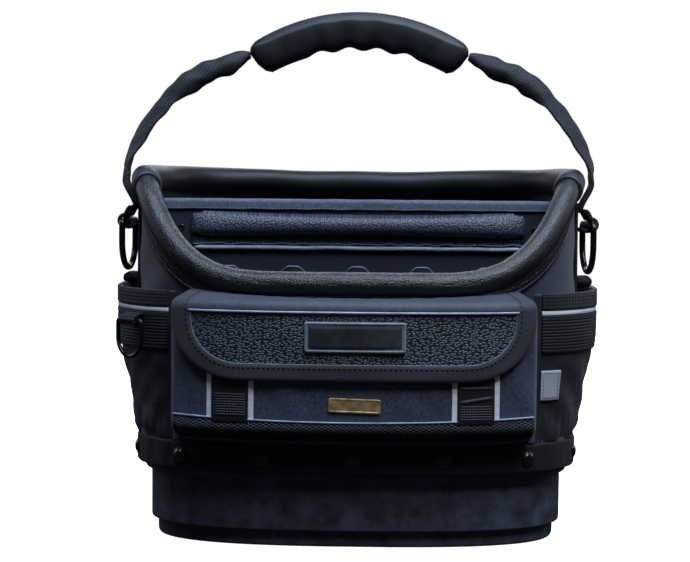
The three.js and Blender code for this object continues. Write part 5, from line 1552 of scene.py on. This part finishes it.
for side in (-1, 1):
    place(seam_strip(side), "binding")
seam_heights = spaced(BAND_TOP + 4, POCKET_TOP + 2, 2.0)
stitches("seam_stitching", [wall(side * (POCKET_SPAN + 3), seam_heights, 2.2) for side in (-1, 1)], 3.4,
         2.4, 0.36, light_thread, "binding")


# Straps and rings
def side_strap(side):
    arcs = edge_run(SIDE_ARC - STRAP_WIDE / 2, SIDE_ARC + STRAP_WIDE / 2, 2.4, 1.0)
    heights = spaced(150, 261, 3)
    def outer(a, z):
        near = np.minimum(quarter_rise(np.abs(a) - arcs[0], 1.4), quarter_rise(arcs[-1] - np.abs(a), 1.4))
        return 1.5 + 1.2 * near
    name = "left" if side < 0 else "right"
    return wall_skin(f"side_strap_web_{name}", side * arcs, heights, outer, 0.3, webbing)


def local_frame(origin, yaw):
    """A frame with +Y along a direction in plan and +X across it."""
    return Matrix.Translation(Vector(origin) * MM) @ Matrix.Rotation(yaw - math.pi / 2, 4, "Z")


def bend_into(obj, matrix):
    obj.data.transform(matrix)
    obj.data.update()
    return obj


def ring_centres(inner_wide, drop, wire, step=1.4):
    bow = (inner_wide + wire) / 2
    straight = drop - bow
    line = [(-bow, 0), (bow, 0), (bow, -straight)]
    for turn in np.linspace(0, math.pi, 33)[1:-1]:
        line.append((bow * math.cos(turn), -straight - bow * math.sin(turn)))
    line.append((-bow, -straight))
    outline = fillet(line, [wire * 0.8, wire * 0.8] + [0.8] * (len(line) - 2), 5, True)
    outline = resample(np.vstack([outline, outline[:1]]), step)[:-1]
    return np.column_stack([outline[:, 0], np.zeros(len(outline)), outline[:, 1]])


def hanging_ring(name, inner_wide, drop, wire, look):
    return tube(name, ring_centres(inner_wide, drop, wire), wire / 2, look, sides=14, closed=True)


def folded_loop(name, width, thick, bar, reach, tail, look, bulge=0.6):
    """Webbing folded round a bar along X at the origin, its ends sewn down at y = -reach."""
    inner = bar + GAP
    middle = inner + thick / 2
    line = [(-reach + 0.1, tail - thick / 2), (-reach * 0.5, (tail + middle) / 2 + bulge)]
    line += [(middle * math.sin(turn), middle * math.cos(turn)) for turn in np.linspace(0, math.pi, 13)]
    line += [(-reach * 0.5, -middle - 0.2 * bulge), (-reach + 0.1, -middle)]
    path = resample(spline(line, np.linspace(0, len(line) - 1, 90)), 0.9)
    tangent = np.gradient(path, axis=0)
    tangent /= np.linalg.norm(tangent, axis=1)[:, None]
    normal = np.column_stack([-tangent[:, 1], tangent[:, 0]])
    xs = edge_run(-width / 2, width / 2, 2.2, 0.8)
    near = np.minimum(quarter_rise(xs + width / 2, 0.9), quarter_rise(width / 2 - xs, 0.9))
    along = np.concatenate([[0], np.cumsum(np.hypot(*np.diff(path.T)))])
    shape = []
    for face in (1, -1):
        grid = []
        for x, rise in zip(xs, near):
            offset = path + normal * face * thick / 2 * (0.5 + 0.5 * rise)
            grid.append(np.column_stack([np.full(len(path), x), offset[:, 0], offset[:, 1]]))
        shape.append(np.stack(grid, 0))
    return shell(name, shape[0], shape[1], look, uv=(xs, along))


def strap_end(name):
    """The strap's sewn-back end, standing out in two thick layers."""
    xs = edge_run(-13, 13, 2.0, 0.8)
    line = [(-0.2, 8.3), (5, 8.6), (9.4, 8.0), (11, 5.6), (10.6, 2.6), (7.5, 0.6), (3, 0.2), (-0.2, 0.3)]
    path = resample(spline(line, np.linspace(0, len(line) - 1, 60)), 0.8)
    rows = [np.column_stack([np.full(len(path), x), path[:, 0], path[:, 1] * (1 - 0.03 * (abs(x) > 12.4))])
            for x in xs]
    return sweep(name, np.array(rows), webbing)


for side, name in ((-1, "left"), (1, "right")):
    place(side_strap(side), "webbing", f"side_strap_{name}")
    yaw = math.radians(RING_YAW)
    matrix = local_frame((side * (BODY_HALF_WIDTH + GAP + 2.5 + RING_STAND), 0, RING_HEIGHT),
                         yaw if side > 0 else math.pi - yaw)
    reach = (RING_STAND - GAP - 13 * math.sin(yaw)) / math.cos(yaw)
    loop = bend_into(folded_loop(f"ring_webbing_{name}", 27, 3.4, RING_WIRE / 2, reach, 12, webbing, 1.8),
                     matrix)
    place(loop, "webbing", f"ring_loop_{name}")
    ring = bend_into(hanging_ring(f"side_d_ring_{name}", RING_WIDE, RING_DROP, RING_WIRE, gloss_metal),
                     matrix)
    place(ring, "black_metal", f"side_ring_{name}", body=f"ring_{name}")
    end = bend_into(strap_end(f"strap_tail_{name}"),
                    local_frame((side * (BODY_HALF_WIDTH + 2 * GAP + 2.5), 0, SIDE_TOP + 0.4),
                                0 if side > 0 else math.pi))
    place(end, "webbing", f"strap_end_{name}")

small_turn = math.atan2(0.718548, -0.695477) + math.pi / 2
small_place = local_frame((-173.7043, -72.3593, SMALL_HEIGHT), small_turn)
place(bend_into(folded_loop("pocket_ring_tab", 18, 2.0, SMALL_WIRE / 2, SMALL_STAND - 0.6, 5.6, webbing,
                            0.3), small_place), "webbing", "d_ring_tab")
place(bend_into(hanging_ring("pocket_d_ring", SMALL_WIDE, SMALL_DROP, SMALL_WIRE, gloss_metal), small_place),
      "black_metal", "d_ring", body="ring_pocket")


# Handle
def grip_top(x):
    return GRIP_TOP - GRIP_TOP_RADIUS + np.sqrt(GRIP_TOP_RADIUS ** 2 - x ** 2)


def grip_bottom(x):
    arch = GRIP_TOP - GRIP_HIGH - GRIP_LOW_RADIUS + np.sqrt(GRIP_LOW_RADIUS ** 2 - x ** 2)
    fingers = (x - FINGER_OFFSET) / FINGER_PITCH
    wave = FINGER_DEEP * np.sin(math.pi * (fingers + FINGER_COUNT / 2)) ** 2
    return arch + np.where(np.abs(fingers) <= FINGER_COUNT / 2, wave, 0)


GRIP_SECTION = ((0, 0), (0.38, 0.004), (0.6, 0.03), (0.74, 0.085), (0.86, 0.15), (0.93, 0.2), (0.975, 0.25),
                (1, 0.42),
                (0.985, 0.6), (0.92, 0.78), (0.78, 0.91), (0.52, 0.985), (0.25, 1.0), (0, 1.0))


def grip():
    half = np.array(GRIP_SECTION)
    dense = spline(half, np.linspace(0, len(half) - 1, 40))
    outline = np.vstack([dense, (dense * [-1, 1])[::-1][1:-1]])
    ends = 6 * (1 - np.cos(np.linspace(0, math.pi / 2, 9)))
    xs = np.concatenate([-GRIP_HALF + ends, spaced(-GRIP_HALF + 6, GRIP_HALF - 6, 1.6)[1:-1],
                         (GRIP_HALF - ends)[::-1]])
    rows = []
    for x in xs:
        rise = float(quarter_rise(GRIP_HALF - abs(x), 6))
        share = float(np.interp(abs(x) / GRIP_HALF, (0.8, 0.86, 0.93, 1), (1, 0.88, 0.62, 0.25)))
        top = float(grip_top(x)) - 4 * (1 - rise)
        high = (float(grip_top(x)) - float(grip_bottom(x))) * share - 4 * (1 - rise)
        wide = GRIP_WIDE * (0.75 + 0.25 * rise)
        rows.append(np.column_stack([np.full(len(outline), x), -outline[:, 0] * wide,
                                     top - outline[:, 1] * high]))
    return sweep("grip_moulding", np.array(rows), grip_rubber)


place(grip(), "rubber", "grip")

HANDLE_RUN = ((0, 0, 0.15, 1), (0.04, 0.12, 0.25, 1), (0.11, 0.29, 0.3, 1), (0.2, 0.44, 0.32, 1),
              (0.32, 0.59, 0.5, 1),
              (0.46, 0.72, 0.85, 1), (0.64, 0.84, 0.9, 1), (0.82, 0.92, 0.9, 0.92), (0.94, 0.98, 0.9, 0.5),
              (1, 1, 0.9, 0.25))
STRAP_SECTION = np.array(((-0.5, -0.08, -0.24), (-0.33, -0.19, -0.13), (-0.17, -0.21, 0.02), (0, -0.06, 0.2),
                          (0.17, 0.1, 0.13), (0.33, 0.17, -0.03), (0.5, 0.14, -0.22)))
RIM_X, RIM_Z, END_X, END_Z = 183.9, 288.0, 86.3, 375.45


def handle_strap(side):
    rows = [(175.6, 256, 0, 1), (177.675, 261.25, 0, 1), (RIM_X, 273.3, 0, 1), (RIM_X, 280.7, 0, 1)]
    rows += [(RIM_X + (END_X - RIM_X) * i, RIM_Z + (END_Z - RIM_Z) * u, fold, size) for i, u, fold,
             size in HANDLE_RUN]
    dense = spline(rows, np.linspace(0, len(rows) - 1, 110))
    section = spline(STRAP_SECTION, np.linspace(0, 6, 25))
    tangent = np.gradient(dense[:, :2], axis=0)
    tangent /= np.linalg.norm(tangent, axis=1)[:, None]
    along = np.concatenate([[0], np.cumsum(np.hypot(*np.diff(dense[:, :2].T)))])
    shape = [[], []]
    for k, (x, z, fold, size) in enumerate(dense):
        fold = min(1, max(0, fold))
        wide = STRAP_WIDE * size
        crumple = ripple(along[k] + 40 * side, section[:, 0] * STRAP_WIDE, 22, 30, 97) * 1.1 * fold * size
        across = wide * (section[:, 0] * (1 - fold) + section[:, 1] * fold)
        up = wide * fold * section[:, 2] + crumple
        turn = math.radians(24) * float(ease((z - RIM_Z) / 26) * (1 - 0.8 * fold))
        across, up = across * math.cos(turn) - up * math.sin(turn), across * math.sin(turn) + up * math.cos(turn)
        line = np.column_stack([across, up])
        step = np.gradient(line, axis=0)
        step /= np.linalg.norm(step, axis=1)[:, None]
        edge = np.minimum(quarter_rise(section[:, 0] + 0.5, 0.05), quarter_rise(0.5 - section[:, 0], 0.05))
        thick = 1.35 * (0.5 + 0.5 * edge)
        for face, grid in zip((1, -1), shape):
            a = across - face * thick * step[:, 1]
            u = up + face * thick * step[:, 0]
            grid.append(np.column_stack([side * (x + tangent[k, 1] * u), a, z - tangent[k, 0] * u]))
    name = "left" if side < 0 else "right"
    uv = (along, section[:, 0] * STRAP_WIDE)
    return shell(f"handle_webbing_{name}", np.array(shape[0]), np.array(shape[1]), strap_webbing, uv=uv)


for side, name in ((-1, "left"), (1, "right")):
    place(handle_strap(side), "webbing", f"handle_strap_{name}")

# Sheets
def declare_sheet(obj, wide, long, held, rests_on):
    """Turns a cut width and length from millimetres into metres; nothing else is done with them."""
    wide, long = wide * MM, long * MM


declare_sheet(flap_piece, 2 * FLAP_SPAN, FLAP_HEM_RUN, "hung", ["front_pocket_cloth"])
POCKET_CUT = (2 * POCKET_SPAN + 36, POCKET_TOP - POCKET_BOTTOM + 16)
declare_sheet(pocket_piece, *POCKET_CUT, "stretched", ["body_wall"])
SIDE_CUT = (SIDE_REAR - SIDE_FRONT + 32, SIDE_TOP - SIDE_BOTTOM + 14)
for name, piece in side_pieces.items():
    declare_sheet(piece, *SIDE_CUT, "gathered", ["body_wall"])

# Stage, light and camera
def soft_light(name, place_at, look_at, size, power, colour=(1, 1, 1)):
    lamp = bpy.data.lights.new(name, "AREA")
    lamp.shape = "RECTANGLE"
    lamp.size, lamp.size_y = size
    lamp.energy = power
    lamp.color = colour
    obj = bpy.data.objects.new(name, lamp)
    bpy.context.scene.collection.objects.link(obj)
    obj.location = place_at
    obj.rotation_euler = (Vector(look_at) - Vector(place_at)).to_track_quat("-Z", "Y").to_euler()
    return obj


soft_light("light_top", (0.1, -0.35, 1.55), (0, 0, 0.2), (1.7, 0.7), 32, (0.62, 0.78, 1.0))
soft_light("light_front", (0.85, -1.4, 2.2), (0, 0, 0.18), (1.2, 0.7), 38, (0.88, 0.93, 1.0))
soft_light("light_left", (-1.6, 0.9, 0.9), (0, 0, 0.2), (0.8, 1.0), 6, (0.8, 0.9, 1.0))
soft_light("light_right", (1.6, 0.9, 0.9), (0, 0, 0.2), (0.8, 1.0), 6, (0.8, 0.9, 1.0))
soft_light("light_back", (0, 2.2, 1.4), (0, 0, 0.2), (1.6, 1.0), 18, (0.86, 0.92, 1.0))


def stage_floor():
    """A plain pale floor, bright enough to run into the backdrop."""
    size = 6.0
    mesh = bpy.data.meshes.new("floor")
    mesh.from_pydata([(-size, -size, 0), (size, -size, 0), (size, size, 0), (-size, size, 0)], [],
                     [(0, 1, 2, 3)])
    look = Look("floor_pale", specular=0.1)
    look.colour(look.blend(look.noise(900.0), srgb(243, 243, 244), srgb(250, 250, 250)))
    look.shader.inputs["Roughness"].default_value = 0.9
    look.shader.inputs["Emission Color"].default_value = (1, 1, 1, 1)
    look.shader.inputs["Emission Strength"].default_value = 1.0
    mesh.materials.append(look.material)
    obj = bpy.data.objects.new("floor", mesh)
    obj.location = (0, 0, -0.0004)
    bpy.context.scene.collection.objects.link(obj)
    obj.visible_diffuse = False
    obj.visible_glossy = False


stage_floor()

world = bpy.data.worlds.new("studio")
bpy.context.scene.world = world
world.use_nodes = True
nodes, links = world.node_tree.nodes, world.node_tree.links
ambient = nodes["Background"]
ambient.inputs["Color"].default_value = (0.62, 0.7, 0.85, 1)
ambient.inputs["Strength"].default_value = 0.05
backdrop = nodes.new("ShaderNodeBackground")
backdrop.inputs["Color"].default_value = (1, 1, 1, 1)
chooser = nodes.new("ShaderNodeMixShader")
links.new(nodes.new("ShaderNodeLightPath").outputs["Is Camera Ray"], chooser.inputs["Fac"])
links.new(ambient.outputs["Background"], chooser.inputs[1])
links.new(backdrop.outputs["Background"], chooser.inputs[2])
links.new(chooser.outputs["Shader"], nodes["World Output"].inputs["Surface"])

bpy.context.scene.view_settings.view_transform = "Standard"
bpy.context.scene.view_settings.look = "None"

CAMERA_AT, CAMERA_AIM = Vector((0.044, -2.1, 0.325)), Vector((-0.0099, 0.0, 0.197))
camera_data = bpy.data.cameras.new("camera")
camera_data.lens, camera_data.sensor_width = 138.1, 36.0
camera = bpy.data.objects.new("camera", camera_data)
bpy.context.scene.collection.objects.link(camera)
camera.location = CAMERA_AT
aim = (CAMERA_AIM - CAMERA_AT).to_track_quat("-Z", "Y").to_matrix()
camera.rotation_euler = (aim @ Matrix.Rotation(math.radians(0.5), 3, "Z")).to_euler()
bpy.context.scene.camera = camera
